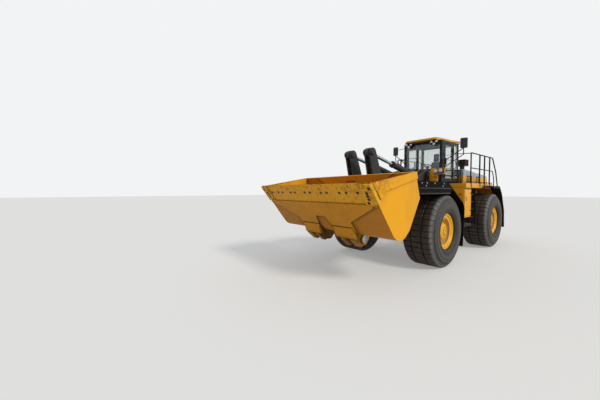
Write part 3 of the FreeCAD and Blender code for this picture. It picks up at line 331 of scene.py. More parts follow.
def bolt(name, radius, height):
    """Hexagon bolt on its washer, along Z; one pattern for every size."""
    washer = spun(name, [(0, 0), (radius * 1.35, 0), (radius * 1.35, height * 0.25), (0, height * 0.25)],
                  axis=(0, 0, 1), steps=12)
    head = spun(name + "_head", [(0, height * 0.2), (radius, height * 0.2), (radius, height * 0.85),
                                 (radius * 0.86, height), (0, height)], axis=(0, 0, 1), steps=6)
    return joined(name, [washer, head])


def bolt_pair(name, radius, height, spots, body, material):
    """A hexagon bolt at each spot of the left side and its mirror image, all facing outwards."""
    row = copies(name, bolt("bolt", radius, height), [facing(spot, (0, 1, 0)) for spot in spots])
    return settle_pair(name, [row], body, material)


def patchy(name, pattern, stops, rough, bump=None, **finish):
    """Material whose tone drifts in patches. A pattern is mottle's size, detail and roughness. Rough is
    a number or (pattern, stops), and bump is (pattern, strength, distance)."""
    made = blank(name)
    if isinstance(rough, tuple):
        rough = patches(made, rough[0], *rough[1])
    if bump:
        finish["Normal"] = add(made, "Bump", Strength=bump[1], Distance=bump[2], Height=mottle(made, *bump[0]))
    tone = patches(made, pattern, *stops)
    add(made, "OutputMaterial", add(made, "BsdfPrincipled", tone, Roughness=rough, **finish))
    return made


bare_steel = patchy("weathered_steel", (0.05, 6, 0.7), ((0.3, "#8C867E"), (0.55, "#A8A29A"), (0.75, "#6E5B49")),
                    0.42, Metallic=0.75)
bolt_pair("axle_bolts", 0.032, 0.035, [(x, 961, z) for x in (2330, 2520, 2930, 3120) for z in (1330, 1560)],
          "front_frame", bare_steel)

# Engine: a grey-green painted block in the dark under the hood, with oil and dust on it. What shows
# of it through the louvres is a cast surface.
engine_coat = enamel("engine_enamel", "#5B6156", "#474B43", 0.5, 0.5, sand_tone="#6A5B48")
dress(engine_coat, "cast_engine", "engine")

# Hood: folded sheet in yellow enamel, with a pale grey top against glare, louvres in its sides, flush
# handles, hinge straps along the top edge and a joint where the two halves meet.
HOOD_TOP_COAT = 3.49
HOOD_SIDE = 1100
VENTS = ((-3080, -2420), (-4180, -3760))
VENT_LOW = 3170
VENT_TOP = 3510
RIM = 30


def hood_top(material):
    """White above the line where the grey coat of the hood starts."""
    return beyond(material, "Z", HOOD_TOP_COAT - 0.004, HOOD_TOP_COAT + 0.004)


yellow = enamel("baked_yellow_enamel", "#ECA71C", "#E09B1A", 0.1, chips=0.9)
hood_coat = enamel("hood_enamel", "#ECA71C", "#DE991A", 0.1, chips=0.5, second=("#A1ABB2", hood_top))
dress(hood_coat, "yellow_paint", "engine_hood")


def plate(name, points, depth):
    """Plate with an outline, as deep as the vector depth."""
    piece = draw(name, points)
    bpy.ops.mesh.extrude_region_move(TRANSFORM_OT_translate={"value": Vector(depth)})
    close_up()
    return piece


def soften(piece, width, segments=2, angle=35):
    """Round the edges that are sharper than angle, by width."""
    bevel = piece.modifiers.new("rounding", "BEVEL")
    bevel.width = width
    bevel.segments = segments
    bevel.limit_method = "ANGLE"
    bevel.angle_limit = math.radians(angle)
    use(piece)
    bpy.ops.object.modifier_apply(modifier="rounding")
    return piece


def slab(name, low, high, round_by=0.006, segments=2):
    """Rounded block between two corners in millimetres."""
    low, high = at(*low), at(*high)
    bpy.ops.object.select_all(action="DESELECT")
    bpy.ops.mesh.primitive_cube_add(size=1, location=(low + high) / 2)
    piece = bpy.context.object
    piece.name = piece.data.name = name
    piece.scale = high - low
    bpy.ops.object.transform_apply(location=True, rotation=True, scale=True)
    return soften(piece, round_by, segments)


def on_side(name, x, z, side, proud, round_by):
    """Thin block on the machine's left side, from 2 mm inside the sheet to proud of it."""
    return slab(name, (x[0], side - 2, z[0]), (x[1], side + proud, z[1]), round_by)


trim = [on_side("seam", (x - 9, x + 9), (2330, 3640), HOOD_SIDE, 4, 0.003) for x in (-2380, -3420, -4560)]
trim.append(on_side("seam", (-5500, -1960), (2780, 2800), HOOD_SIDE, 4, 0.003))
trim += [on_side("latch", (x - 60, x + 60), (2850, 2890), HOOD_SIDE, 16, 0.005)
         for x in (-2700, -3300, -3900, -4900)]
for x0, x1 in VENTS:
    for x, z in (((x0 - RIM, x1 + RIM), (VENT_LOW, VENT_LOW + RIM)),
                 ((x0 - RIM, x1 + RIM), (VENT_TOP - RIM, VENT_TOP)),
                 ((x0 - RIM, x0), (VENT_LOW, VENT_TOP)), ((x1, x1 + RIM), (VENT_LOW, VENT_TOP))):
        trim.append(on_side("vent_rim", x, z, HOOD_SIDE, 12, 0.004))
settle_pair("hood_trim", trim, "rear_frame", charcoal)

# Louvre lining: sheets of black foam behind the louvres, glued to the hood's inside. From outside they
# only darken the slots, as painted shade for the dark inside of the hood.
foam = patchy("black_foam_slot_shade", (0.03, 6, 0.7), ((0.3, "#0B0B0B"), (0.7, "#191817")), 0.95,
              Specular_IOR_Level=0.1)
slot_shade_sheets = [slab("foam", (x0 - 60, HOOD_SIDE - 75, 3150), (x1 + 60, HOOD_SIDE - 55, 3530), 0.01)
          for x0, x1 in VENTS]
settle_pair("louvre_slot_shade", slot_shade_sheets, "rear_frame", foam)

# Pre-cleaner and exhaust: a ribbed moulded drum on the air intake and a steel pipe with a heat shield.
# The ribs and the perforated shield are what shows of them from the ground.
RIB_STEP = 55
RIB_T = 16
RIB_Z = (4070, 4362)
moulded = enamel("moulded_black_plastic", "#3A3632", "#2C2926", 0.35, 0.5, sand_tone="#7A6B55")
dress(moulded, "black_paint", "intake_stacks")
ribs = [slab("rib", (x, 470, RIB_Z[0]), (x + RIB_T, 932, RIB_Z[1]), 0.004)
        for x in (-3120 + i * RIB_STEP for i in range(9))]
ribs += [slab("rib", (-3152, y, RIB_Z[0]), (-2648, y + RIB_T, RIB_Z[1]), 0.004)
         for y in (500 + i * RIB_STEP for i in range(8))]
ribs.append(slab("rib_top", (-3156, 464, 4356), (-2644, 936, 4379), 0.008))
settle(joined("precleaner_ribs", ribs), "rear_frame", moulded)
SHIELD = [(0.131, 3.86), (0.137, 3.865), (0.137, 3.90), (0.131, 3.905), (0.131, 3.99), (0.137, 3.995),
          (0.137, 4.03), (0.131, 4.035), (0.131, 4.1), (0.137, 4.105), (0.137, 4.145), (0.10, 4.155)]
shield = spun("exhaust_shield", SHIELD, (at(-3300, 0, 0).x, -0.65, 0), (0, 0, 1), 32)
settle(shield, "rear_frame", bare_steel)

# Radiator grille and counterweight: the grille is a framed row of bars at the rear with lamps on its
# frame, and the weight is a casting in yellow enamel.
GRILLE_BACK = -5620
LENS_HAZE = ((0.05, 6), ((0.3, 0.12), (0.7, 0.3)))
dress(charcoal, "black_paint", "radiator_grille")
dress(yellow, "yellow_paint", "counterweight")
red_lens = patchy("red_lamp_lens", (0.03,), ((0.3, "#8E1B12"), (0.7, "#B2261A")), LENS_HAZE,
                  IOR=1.49, Coat_Weight=0.4)
amber_lens = patchy("amber_lamp_lens", (0.03,), ((0.3, "#E2480C"), (0.7, "#F26A14")), LENS_HAZE,
                    IOR=1.49, Coat_Weight=0.4)


def lamp_lens(name, radius, bulge):
    """Round lens with a rim, along Z."""
    return spun(name, [(radius, 0.0), (radius, bulge * 0.4), (radius * 0.93, bulge * 0.55),
                       (radius * 0.6, bulge * 0.9), (0.0, bulge)], axis=(0, 0, 1), steps=28)


tail = copies("tail_lamps", lamp_lens("tail_lamp", 0.045, 0.02),
              [facing((GRILLE_BACK - 24, 1033, z), (-1, 0, 0)) for z in (2760, 2880)])
housing = slab("tail_housing", (GRILLE_BACK - 25, 976, 2690), (GRILLE_BACK + 10, 1090, 2950), 0.01)
settle_pair("tail_housings", [housing], "rear_frame", charcoal)
settle_pair("tail_lamps", [tail], "rear_frame", red_lens)

# Cab: a welded frame of box section in slate enamel, with glass bonded in and felt under its roof. A
# dark strip edges the roof and two clusters of work lamps hang under its front.
EAVE = 5060
cab_coat = enamel("slate_cab_enamel", "#1E242A", "#171C21", 0.06, 0.36, chips=0.3, steel="#6F6A63",
                  sand_tone="#5F6062", shine=0.15)
dress(cab_coat, "grey_paint", "cab_frame", "cab_door")
dress(yellow, "yellow_paint", "cab_roof")
dress(charcoal, "black_paint", "cab_lamps")
roof_strip = slab("roof_strip", (318, -750, EAVE - 6), (336, 750, EAVE + 30), 0.006)
settle(roof_strip, "rear_frame", charcoal)
lining = patchy("needled_felt_lining", (0.02, 7, 0.7), ((0.3, "#1B4B66"), (0.7, "#2E6C8A")), 0.9)
headliner = slab("cab_headliner", (-1760, -880, EAVE - 60), (55, 880, EAVE - 20), 0.02)
blind = slab("cab_blind", (40, -790, EAVE - 330), (52, 790, EAVE - 60), 0.005)
settle(joined("cab_headliner", [headliner, blind]), "rear_frame", lining)
clear_lens = patchy("clear_lamp_lens", (0.03, 5), ((0.3, "#D9CBC0"), (0.7, "#EFE8E2")),
                    ((0.04, 6), ((0.3, 0.08), (0.7, 0.25))), IOR=1.49, Coat_Weight=0.5)
places = [facing((250, y + dy, EAVE - 100 + dz), (1, 0, 0)) for y in (-600, 600)
          for dy, dz in ((-110, 40), (110, 40), (0, -70))]
lenses = copies("roof_lamp_lenses", lamp_lens("roof_lamp_lens", 0.056, 0.016), places)
settle(lenses, "rear_frame", clear_lens)


# Windows: laminated safety glass with a faint green tint, dusty along its lower edges. It mirrors the
# pale surroundings and lets the seat and the column show through.
def safety_glass(name, low, high, most):
    """Clear glass with a film of dust that thins from height low to high."""
    glass = blank(name)
    streaks = where_all(glass, mottle(glass, 0.25, 7, 0.7), 0.25)
    drift = add(glass, "Math", beyond(glass, "Z", high, low), streaks, operation="ADD", use_clamp=True)
    film = add(glass, "ValToRGB", drift, stops=((0.2, 0.03), (1.0, most)))
    haze = add(glass, "ValToRGB", film, stops=((0.0, 0.02), (1.0, 0.25)))
    pane = add(glass, "BsdfPrincipled", "#F1F6F4", Transmission_Weight=0.97, IOR=1.45, Roughness=haze)
    dust = add(glass, "BsdfPrincipled", "#B9BBA6", Roughness=0.9)
    add(glass, "OutputMaterial", add(glass, "MixShader", film, pane, dust))
    return glass


dress(safety_glass("tinted_safety_glass", 3.3, 3.7, 0.12), "glass", "cab_windows")
dress(safety_glass("dusty_door_glass", 3.35, 4.2, 0.6), "glass", "cab_door_glass")


# Wiper, door pull and grab bars at the cab: steel bar and tube, powder coated black. They are bolted
# to the cab's frame, and the wiper's blade lies on the windscreen.
def tube(name, points, radius):
    """Bent round tube along a smooth line through the neighbourhood of its points."""
    curve = bpy.data.curves.new(name, "CURVE")
    curve.dimensions = "3D"
    line = curve.splines.new("NURBS")
    line.points.add(len(points) - 1)
    for spot, point in zip(line.points, points):
        spot.co = (*point, 1)
    line.order_u = 3
    line.use_endpoint_u = True
    line.resolution_u = 6
    curve.bevel_depth = radius
    curve.bevel_resolution = 3
    curve.use_fill_caps = True
    piece = bpy.data.objects.new(name, curve)
    bpy.context.scene.collection.objects.link(piece)
    use(piece)
    bpy.ops.object.convert(target="MESH")
    return bpy.context.object


cab_bars = [tube("wiper_arm", [at(112, -420, 3440), at(125, -330, 3800), at(112, -250, 4250)], 0.011),
            tube("wiper_arm", [at(112, -360, 3440), at(125, -280, 3800), at(112, -215, 4180)], 0.008),
            slab("wiper_blade", (98, -262, 3700), (110, -238, 4700), 0.004),
            tube("grab_bar", [at(-60, 905, 3350), at(-60, 965, 3370), at(-60, 975, 3900), at(-60, 965, 4430),
                              at(-60, 905, 4450)], 0.015)]
settle(joined("cab_bars", cab_bars), "rear_frame", charcoal)

# Mirrors: moulded housings with round corners on two tube arms each, and a flat and a wide-angle glass
# that face back. The arms are clamped together half way out.
MIRROR_PIVOT = at(-320, 1640, 0)
MIRROR_TURN = math.radians(14)
ARM_FEET_Z = (4080, 3800)
mirror_coat = enamel("mirror_shell_plastic", "#332F2C", "#26231F", 0.25, 0.45, sand_tone="#75695A")
silvered = patchy("silvered_glass", (0.2, 5), ((0.3, "#BFC6C9"), (0.7, "#DCE0E1")),
                  ((0.12, 6), ((0.3, 0.03), (0.75, 0.16))), Metallic=1.0)
swing = (Matrix.Translation(MIRROR_PIVOT) @ Matrix.Rotation(MIRROR_TURN, 4, "Z")
         @ Matrix.Translation(-MIRROR_PIVOT))
head = slab("mirror_head", (-365, 1500, 4625), (-270, 1780, 5075), 0.044, 4)
brim = slab("mirror_brim", (-372, 1508, 4633), (-352, 1772, 5067), 0.008)
for piece in (head, brim):
    piece.data.transform(swing)
arms = [tube("mirror_arm", [at(-25, 900, z), at(-60, 960, z + 30), at(-300, 1560, z + 500),
                            at(-318, 1630, z + 545)], 0.02) for z in ARM_FEET_Z]
arms += [tube("mirror_mast", [at(-318, 1630, 4330), at(-318, 1632, 4500), at(-318, 1634, 4680)], 0.02),
         tube("mirror_stay", [at(-25, 900, 4900), at(-200, 1250, 4905), at(-318, 1540, 4905)], 0.014),
         slab("arm_clamp", (-210, 1215, 4020), (-160, 1275, 4400), 0.01)]
arms += [slab("arm_foot", (-60, 903, z - 70), (10, 922, z + 70), 0.006) for z in ARM_FEET_Z]
housings = settle_pair("mirror_housings", [head, brim] + arms, "rear_frame", mirror_coat)
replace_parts(housings, "mirrors")
faces = joined("mirror_glasses", [slab("mirror_glass", (-378, 1524, low), (-370, 1756, high), 0.004)
                                  for low, high in ((4800, 5045), (4652, 4782))])
faces.data.transform(swing)
settle_pair("mirror_glasses", [faces], "rear_frame", silvered)

# Seat: an air-sprung seat with a steel base in black and cushions of foam in woven cloth. Each cushion
# is blown up by a cloth simulation, then gets two sewn channels.
SEAT_Z = 3480
SEAT_SEAMS = (-0.12, 0.12)
SEAM_REACH = 0.02
SEAM_DEPTH = 0.011
CLOTH_STEPS = 20
dress(charcoal, "console_plastic", "seat_base")
cloth_weave = blank("woven_seat_cloth")
spot = add(cloth_weave, "TexCoord", out="Object")
warp = add(cloth_weave, "TexWave", spot, bands_direction="Y", Scale=26.0, out="Fac")
weft = add(cloth_weave, "TexWave", spot, bands_direction="DIAGONAL", Scale=22.0, out="Fac")
threads = where_all(cloth_weave, warp, weft)
tone = patches(cloth_weave, (0.3, 5), (0.3, "#27404C"), (0.7, "#34505C"))
tone = over(cloth_weave, tone, "#1E3038", threads, 0.5)
relief = add(cloth_weave, "Bump", Strength=0.35, Distance=0.003, Height=threads)
add(cloth_weave, "OutputMaterial", add(cloth_weave, "BsdfPrincipled", tone, Roughness=0.88, Sheen_Weight=0.4,
                                       Normal=relief))


def cushion(name, outline, half, seams, cap=0.016):
    """Foam cushion from a side outline, swollen by cloth simulation; seams are Y places of channels."""
    outline = [at(x, 0, z) for x, z in outline]
    piece = plate(name, [p + Vector((0, -half, 0)) for p in outline], (0, 2 * half, 0))
    soften(piece, 0.045, 4, 50)
    remesh = piece.modifiers.new("even_mesh", "REMESH")
    remesh.mode = "VOXEL"
    remesh.voxel_size = 0.014
    use(piece)
    bpy.ops.object.modifier_apply(modifier="even_mesh")
    start = [v.co.copy() for v in piece.data.vertices]
    cloth = piece.modifiers.new("foam", "CLOTH")
    cloth.settings.quality = 4
    cloth.settings.use_pressure = True
    cloth.settings.uniform_pressure_force = 4
    cloth.settings.effector_weights.gravity = 0
    cloth.point_cache.frame_start = 1
    cloth.point_cache.frame_end = CLOTH_STEPS
    for step in range(1, CLOTH_STEPS + 1):
        bpy.context.scene.frame_set(step)
    use(piece)
    bpy.ops.object.modifier_apply(modifier="foam")
    bpy.context.scene.frame_set(1)
    for vertex, first in zip(piece.data.vertices, start):
        move = vertex.co - first
        if move.length > cap:
            vertex.co = first + move.normalized() * cap
    floor_z = min(p.z for p in outline) - 0.004
    for vertex in piece.data.vertices:
        for seam in seams:
            near = abs(vertex.co.y - seam)
            if near < SEAM_REACH and abs(vertex.normal.y) < 0.6:
                vertex.co -= vertex.normal * SEAM_DEPTH * (1 - near / SEAM_REACH)
        vertex.co.z = max(vertex.co.z, floor_z)
    smooth = piece.modifiers.new("finish", "SUBSURF")
    smooth.levels = smooth.render_levels = 1
    use(piece)
    bpy.ops.object.modifier_apply(modifier="finish")
    return piece


lower = cushion("seat_cushion", [(-1310, SEAT_Z + 14), (-798, SEAT_Z + 14), (-802, SEAT_Z + 118),
                                 (-860, SEAT_Z + 128), (-1305, SEAT_Z + 118)], 0.252, SEAT_SEAMS)
back = cushion("seat_back", [(-1266, 3655), (-1372, 4100), (-1396, 4245), (-1470, 4245), (-1475, 4150),
                             (-1376, 3655)], 0.242, SEAT_SEAMS)
pads = joined("seat_pads", [lower, back])
headrest = cushion("seat_headrest", [(-1372, 4236), (-1392, 4560), (-1420, 4650), (-1490, 4650),
                                     (-1520, 4560), (-1490, 4236)], 0.13, ())
settle(pads, "rear_frame", cloth_weave, 60)
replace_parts(pads, "seat_cushions")
settle(headrest, "rear_frame", cloth_weave, 60)
posts = [tube("headrest_post", [at(-1420, y, 4180), at(-1432, y, 4250), at(-1440, y, 4320)], 0.008)
         for y in (-70, 70)]
settle(joined("headrest_posts", posts), "rear_frame", bare_steel)

# Console, column and steering wheel: moulded plastic with a fine grain, a display on the dash and
# switch rows and a lever on the side console.
grain_plastic = patchy("grained_plastic", (0.3, 5), ((0.3, "#2F3335"), (0.7, "#3B4042")),
                       ((0.006, 5), ((0.3, 0.45), (0.7, 0.65))), ((0.006, 5), 0.3, 0.001), IOR=1.5)
dress(grain_plastic, "console_plastic", "cab_console")
controls = [slab("dash_pod", (-296, -340, 3480), (-50, 340, 3800), 0.05),
            slab("display", (-330, -160, 3575), (-290, 160, 3740), 0.012),
            slab("lever", (-520, -760, 3765), (-490, -730, 3900), 0.008),
            slab("lever_knob", (-530, -770, 3890), (-480, -720, 3960), 0.02),
            slab("arm_pad", (-940, -800, 3768), (-560, -680, 3800), 0.014)]
controls += [slab("switch", (x, -850, 3768), (x + 35, -820, 3780), 0.003) for x in range(-960, -480, 60)]
settle(joined("cab_controls", controls), "rear_frame", grain_plastic)

# Decks: yellow folded sheet round a walkway with an anti-slip coat, a dark toe bar above its edge and
# foot brackets that bolt the rail posts to its side.
DECK = 3060
DECK_SIDE = 1800
POSTS_X = (-810, -1970, -2660, -3460)
dress(yellow, "yellow_paint", "decks")
grit_coat = patchy("anti_slip_coat", (0.4, 7), ((0.3, "#3A3734"), (0.7, "#5A5044")), 0.85,
                   ((0.012, 6, 0.75), 0.6, 0.004))
mats = [slab("walkway", (x0, y0, DECK - 1), (x1, 1740, DECK + 8), 0.003)
        for x0, x1, y0 in ((-3860, -2950, 1120), (-2920, -1930, 1120), (-1880, -1060, 940), (-1030, -260, 940))]
settle_pair("walkways", mats, "rear_frame", grit_coat)
toe = [slab("toe_bar", (-3880, 1765, DECK + 62), (-260, 1781, DECK + 100), 0.004),
       slab("toe_bar", (-260, 960, DECK + 20), (-244, 1500, DECK + 90), 0.004)]
toe += [slab("toe_foot", (x, 1762, DECK - 4), (x + 40, 1784, DECK + 70), 0.004)
        for x in (-300, -1500, -2300, -3100, -3860)]
for x in POSTS_X:
    toe += [on_side("post_foot", (x - 48, x + 48), (DECK - 160, DECK + 60), DECK_SIDE, 12, 0.006),
            slab("post_foot", (x - 30, 1745, DECK + 18), (x + 30, DECK_SIDE + 12, DECK + 62), 0.006)]
settle_pair("toe_bars", toe, "rear_frame", charcoal)
lines = [on_side("deck_line", (-3880, -230), (DECK - 60, DECK - 52), DECK_SIDE, 4, 0.002),
         on_side("deck_line", (-3880, -230), (DECK - 168, DECK - 150), DECK_SIDE, 8, 0.004)]
settle_pair("deck_lines", lines, "rear_frame", yellow)
spots = [(x + dx, DECK_SIDE + 12, DECK - dz) for x in POSTS_X for dx in (-28, 28) for dz in (30, 125)]
bolt_pair("post_bolts", 0.012, 0.014, spots, "rear_frame", bare_steel)

# Rails: bent steel tube in black, along the walkway and down the rear stairs, with a low hoop and two
# bars that close the front of the deck and a stay from the first post to the cab.
RAIL_Y = 1775
RAIL_TOP = 4450
RAIL_MIDDLE = 3770
STAIR_FOOT_Y = 1504
FRONT_X = -225


def bent(corners, reach=120):
    """Places in millimetres along straight runs, with closer ones where the tube bends."""
    line = [Vector(corners[0])]
    for before, corner, after in zip(corners, corners[1:], corners[2:]):
        corner = Vector(corner)
        line += [corner + (Vector(before) - corner).normalized() * reach, corner,
                 corner + (Vector(after) - corner).normalized() * reach]
    return [at(*point) for point in line + [Vector(corners[-1])]]


rails = [tube("post", [at(x, RAIL_Y, DECK + 20), at(x, RAIL_Y, 3800), at(x, RAIL_Y, RAIL_TOP)], 0.031)
         for x in POSTS_X[1:]]
top_run = [(POSTS_X[0], RAIL_Y, DECK + 20), (POSTS_X[0], RAIL_Y, RAIL_TOP), (-3920, RAIL_Y, RAIL_TOP),
           (-4530, RAIL_Y, 3760), (-4890, RAIL_Y, 3000), (-4880, 1620, 2480), (-4840, STAIR_FOOT_Y, 2410)]
middle_run = [(POSTS_X[0], RAIL_Y, RAIL_MIDDLE), (-3960, RAIL_Y, RAIL_MIDDLE), (-4230, RAIL_Y, 3300),
              (-4340, RAIL_Y - 40, 2960), (-4345, STAIR_FOOT_Y, 2690)]
rails += [tube("top_rail", bent(top_run), 0.027), tube("middle_rail", bent(middle_run), 0.022)]
rail_coat = enamel("rail_black_enamel", "#141416", "#1B1A19", 0.08, 0.45, chips=0.4, steel="#77716A",
                   sand_tone="#5E5040", shine=0.1)
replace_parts(settle_pair("steel_rails", rails, "rear_frame", rail_coat), "handrails")
bars = [tube("front_bar", bent([(FRONT_X, 925, 3665), (FRONT_X, 1565, 3665), (FRONT_X, 1565, 3075)]), 0.018),
        tube("front_bar", bent([(FRONT_X, 925, 3440), (FRONT_X, 1300, 3440), (FRONT_X, 1560, 3440)]), 0.016),
        tube("front_hoop", bent([(FRONT_X, 925, 3430), (FRONT_X, 1150, 3410), (FRONT_X, 1265, 3300),
                                 (FRONT_X, 1270, 3075)]), 0.020),
        tube("stay", bent([(POSTS_X[0], RAIL_Y, 4430), (-1230, 1352, 4500), (-1650, 925, 4560)]), 0.018)]
settle_pair("deck_bars", bars, "rear_frame", charcoal)

# Ladders and rear stairs: stringers of plate with treads of punched grip planks, and a near-black side
# plate that keeps boots off the tyre and stands in as painted shade between the cabinet and the tyre.
guard_coat = enamel("guard_black_enamel", "#070707", "#0C0B0B", 0.05, 0.6, chips=0.2, steel="#4E4941",
                    sand_tone="#3A3127", shine=0.04)
dress(charcoal, "black_paint", "ladders")
teeth = [(x, 1508, z - 1, 1722) for z in range(1190, 2600, 350) for x in range(-1362, -1070, 58)]
teeth += [(x, 1550, 1259, 1740) for x in range(-1010, -260, 62)]
teeth = [slab("tread_tooth", (x, y0, z), (x + 22, y1, z + 8), 0.002, 1) for x, y0, z, y1 in teeth]
settle_pair("tread_teeth", teeth, "rear_frame", bare_steel)
ladder_shade_plate = slab("ladder_side_plate", (-1398, 1480, 1165), (-1390, 1788, 2872), 0.003)
settle_pair("ladder_guard_and_shade_plates", [ladder_shade_plate], "rear_frame", guard_coat)

# Cabinets: yellow sheet boxes under the deck for batteries and filters, with a door on strap hinges,
# a bright pull handle and a reflector that every such machine carries.
BOX_SIDE = 1740
PULL_Z = 2300
dress(yellow, "yellow_paint", "cabinets")
hinges = [on_side("hinge", (-975, -865), (z, z + 60), BOX_SIDE, 30, 0.005) for z in (1820, 2600)]
hinges += [on_side("door_gap", (-962, -188), (z, z + 12), BOX_SIDE, 6, 0.002) for z in (1604, 2802)]
# Painted shadow: a dark strip under the deck's edge, above the cabinet doors.
hinges.append(on_side("shadow_strip", (-998, -152), (2840, 2868), BOX_SIDE, 4, 0.002))
settle_pair("cabinet_hinges_and_shadow", hinges, "rear_frame", charcoal)
pull = tube("pull", [at(-330, BOX_SIDE + out, PULL_Z + up) for out, up in ((18, 0), (60, 10), (60, 200), (18, 210))],
            0.014)
settle_pair("cabinet_pulls", [pull], "rear_frame", bare_steel)
reflector = slab("cabinet_reflector", (-152, 1525, 2550), (-140, 1695, 2625), 0.006)
settle_pair("cabinet_reflectors", [reflector], "rear_frame", amber_lens)

# Rear fenders: yellow sheet over the tyres with a wider flare in black rubber, bolted on through a
# flange, and the flap behind the tyre.
FENDER_OUT = 2250
FLARE_EDGE = [(-2292, 2968), (-3350, 2968), (-3770, 2570), (-4220, 1715), (-4298, 852), (-4240, 852),
              (-4150, 1740), (-3700, 2520), (-3330, 2850), (-2292, 2850)]
FLARE_BOLTS = ((-2440, 2910), (-2880, 2910), (-3290, 2910), (-3620, 2670), (-3900, 2220), (-4120, 1860),
               (-4205, 1600), (-4235, 1320), (-4258, 1050))


def flare(material):
    """White on the rubber flare outside the yellow sheet and on the flap behind the tyre."""
    spot = add(material, "SeparateXYZ", add(material, "TexCoord", out="Object")).node.outputs
    wide = add(material, "Math", spot["Y"], operation="ABSOLUTE")
    outside = add(material, "MapRange", wide, From_Min=1.85, From_Max=1.86)
    behind = add(material, "MapRange", spot["Z"], From_Min=1.76, From_Max=1.74)
    return add(material, "Math", outside, behind, operation="MAXIMUM", use_clamp=True)


# The fender's yellow is darker and browner than the other yellow enamel, with dark brown dust: partly dirt, partly
# painted shade under the deck.
fender_coat_soil_and_shade = enamel("fender_enamel_shaded_and_flare", "#D8961C", "#B57A1C", 0.3, chips=0.4, sand_tone="#6E4A22",
                     second=("#100F0E", flare), shine=0.12)
dress(fender_coat_soil_and_shade, "black_paint", "rear_fenders")
rubber_flare = enamel("black_rubber_flare", "#0A0A0A", "#100F0E", 0.06, 0.65, sand_tone="#40362B", shine=0.05)
flange = plate("fender_flare", [at(x, FENDER_OUT - 14, z) for x, z in FLARE_EDGE], (0, 0.018, 0))
settle_pair("fender_flares", [flange], "rear_frame", rubber_flare)
bolt_pair("flare_bolts", 0.018, 0.018, [(x, FENDER_OUT + 4, z) for x, z in FLARE_BOLTS], "rear_frame", bare_steel)

# Front fenders: a rubber-edged guard over each front tyre, black, with a raised band whose bolts have
# gone pale, and a lamp bracket of yellow plate on the tower beside it.
GUARD_BOLTS = ((4790, 2975), (4450, 2975), (3920, 2975), (3230, 2975), (4510, 2890), (3310, 2890))
BRACKET_EDGE = ((955, 3100), (962, 3220), (1010, 3560), (1090, 3665), (1200, 3665), (1225, 3450), (1330, 3335),
                (1310, 3100))
HEAD_LAMPS = ((1272, 3535), (1462, 3555))
dress(guard_coat, "black_paint", "front_fenders")
lips = [slab("guard_lip", (2720, 2244, 2630), (4900, 2292, 2672), 0.014),
        slab("guard_lip", (2640, 2244, 2800), (4940, 2276, 2838), 0.012)]
# The lips are a paler grey than the black guard: a painted highlight along their edges.
lip_highlight_rubber = enamel("lip_rubber_painted_highlight", "#2E3033", "#232426", 0.15, 0.5, sand_tone="#5A5148", shine=0.2)
settle_pair("guard_lips", lips, "front_frame", lip_highlight_rubber)
bolt_pair("guard_bolts", 0.022, 0.02, [(x, 2265, z) for x, z in GUARD_BOLTS], "front_frame", bare_steel)
bracket = soften(plate("lamp_bracket", [at(1450, y, z) for y, z in BRACKET_EDGE], (0.05, 0, 0)), 0.005)
bars = [slab("lamp_bar", (1450, 1080, 3640), (1490, 1585, 3668), 0.006),
        slab("lamp_bar", (1450, 1555, 3420), (1490, 1585, 3668), 0.006),
        slab("lamp_shelf", (1440, 1180, 3420), (1540, 1570, 3440), 0.006)]
brackets = settle_pair("lamp_brackets", [bracket] + bars, "front_frame", yellow)
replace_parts(brackets, "head_lamps")
pot = spun("lamp_pot", [(0, 0), (0.05, 0), (0.078, 0.03), (0.084, 0.085), (0.084, 0.1), (0, 0.1)],
           axis=(0, 0, 1), steps=32)
pots = copies("lamp_pots", pot, [facing((1490, y, z), (1, 0, 0)) for y, z in HEAD_LAMPS])
settle_pair("lamp_pots", [pots], "front_frame", charcoal)
lenses = copies("head_lamp_lenses", lamp_lens("head_lens", 0.076, 0.02),
                [facing((1588, y, z), (1, 0, 0)) for y, z in HEAD_LAMPS])
settle_pair("head_lamp_lenses", [lenses], "front_frame", clear_lens)
marker = slab("marker_lens", (1498, 1190, 3285), (1530, 1335, 3350), 0.014)
settle_pair("marker_lenses", [marker], "front_frame", amber_lens)

# Loader linkage: arms, bellcranks and links are thick plate in a grey enamel that dust and wear have
# made paler. Pins have round keeper plates with bolts, and drums fill the cylinder eyes.
CRANK_TOP = (4880, 4090)
CRANK_LOW = (4460, 1420)
LIFT_EYE = (2536, 2192)
STEER_EYE = (270, 740, 1240)
linkage_coat = enamel("linkage_grey_enamel", "#303236", "#24262A", 0.25, 0.42, chips=0.8, steel="#8C857B",
                      sand_tone="#6E6355", shine=0.2)
dress(linkage_coat, "black_paint", "lift_arms", "bellcranks", "bucket_links", "tilt_barrels", "lift_barrels")
bright_steel = patchy("rubbed_bright_steel", (0.06, 6, 0.7),
                      ((0.35, "#C4C8CA"), (0.6, "#9EA2A4"), (0.8, "#5E5144")), 0.34, Metallic=0.85)


def keepers(name, radius, spots, out=1, bolts=6):
    """Round keeper plate of a pin with a ring of bolts, at each spot, facing out or inwards."""
    cap = spun("keeper", [(0, 0), (radius, 0), (radius, 0.016), (radius * 0.92, 0.022), (radius * 0.45, 0.022),
                          (radius * 0.42, 0.03), (0, 0.03)], axis=(0, 0, 1), steps=32)
    ring = [Matrix.Translation((radius * 0.7 * math.cos(2 * math.pi * i / bolts),
                                radius * 0.7 * math.sin(2 * math.pi * i / bolts), 0.02)) for i in range(bolts)]
    keeper = joined("keeper", [cap, copies("keeper_bolts", bolt("keeper_bolt", 0.013, 0.014), ring)])
    return copies(name, keeper, [facing(spot, (0, out, 0)) for spot in spots])


def eye_drum(name, radius, half, centre, axis, steps):
    """Plain drum that fills a cylinder's eye."""
    return spun(name, [(0, -half), (radius, -half), (radius, half), (0, half)], at(*centre), axis, steps)


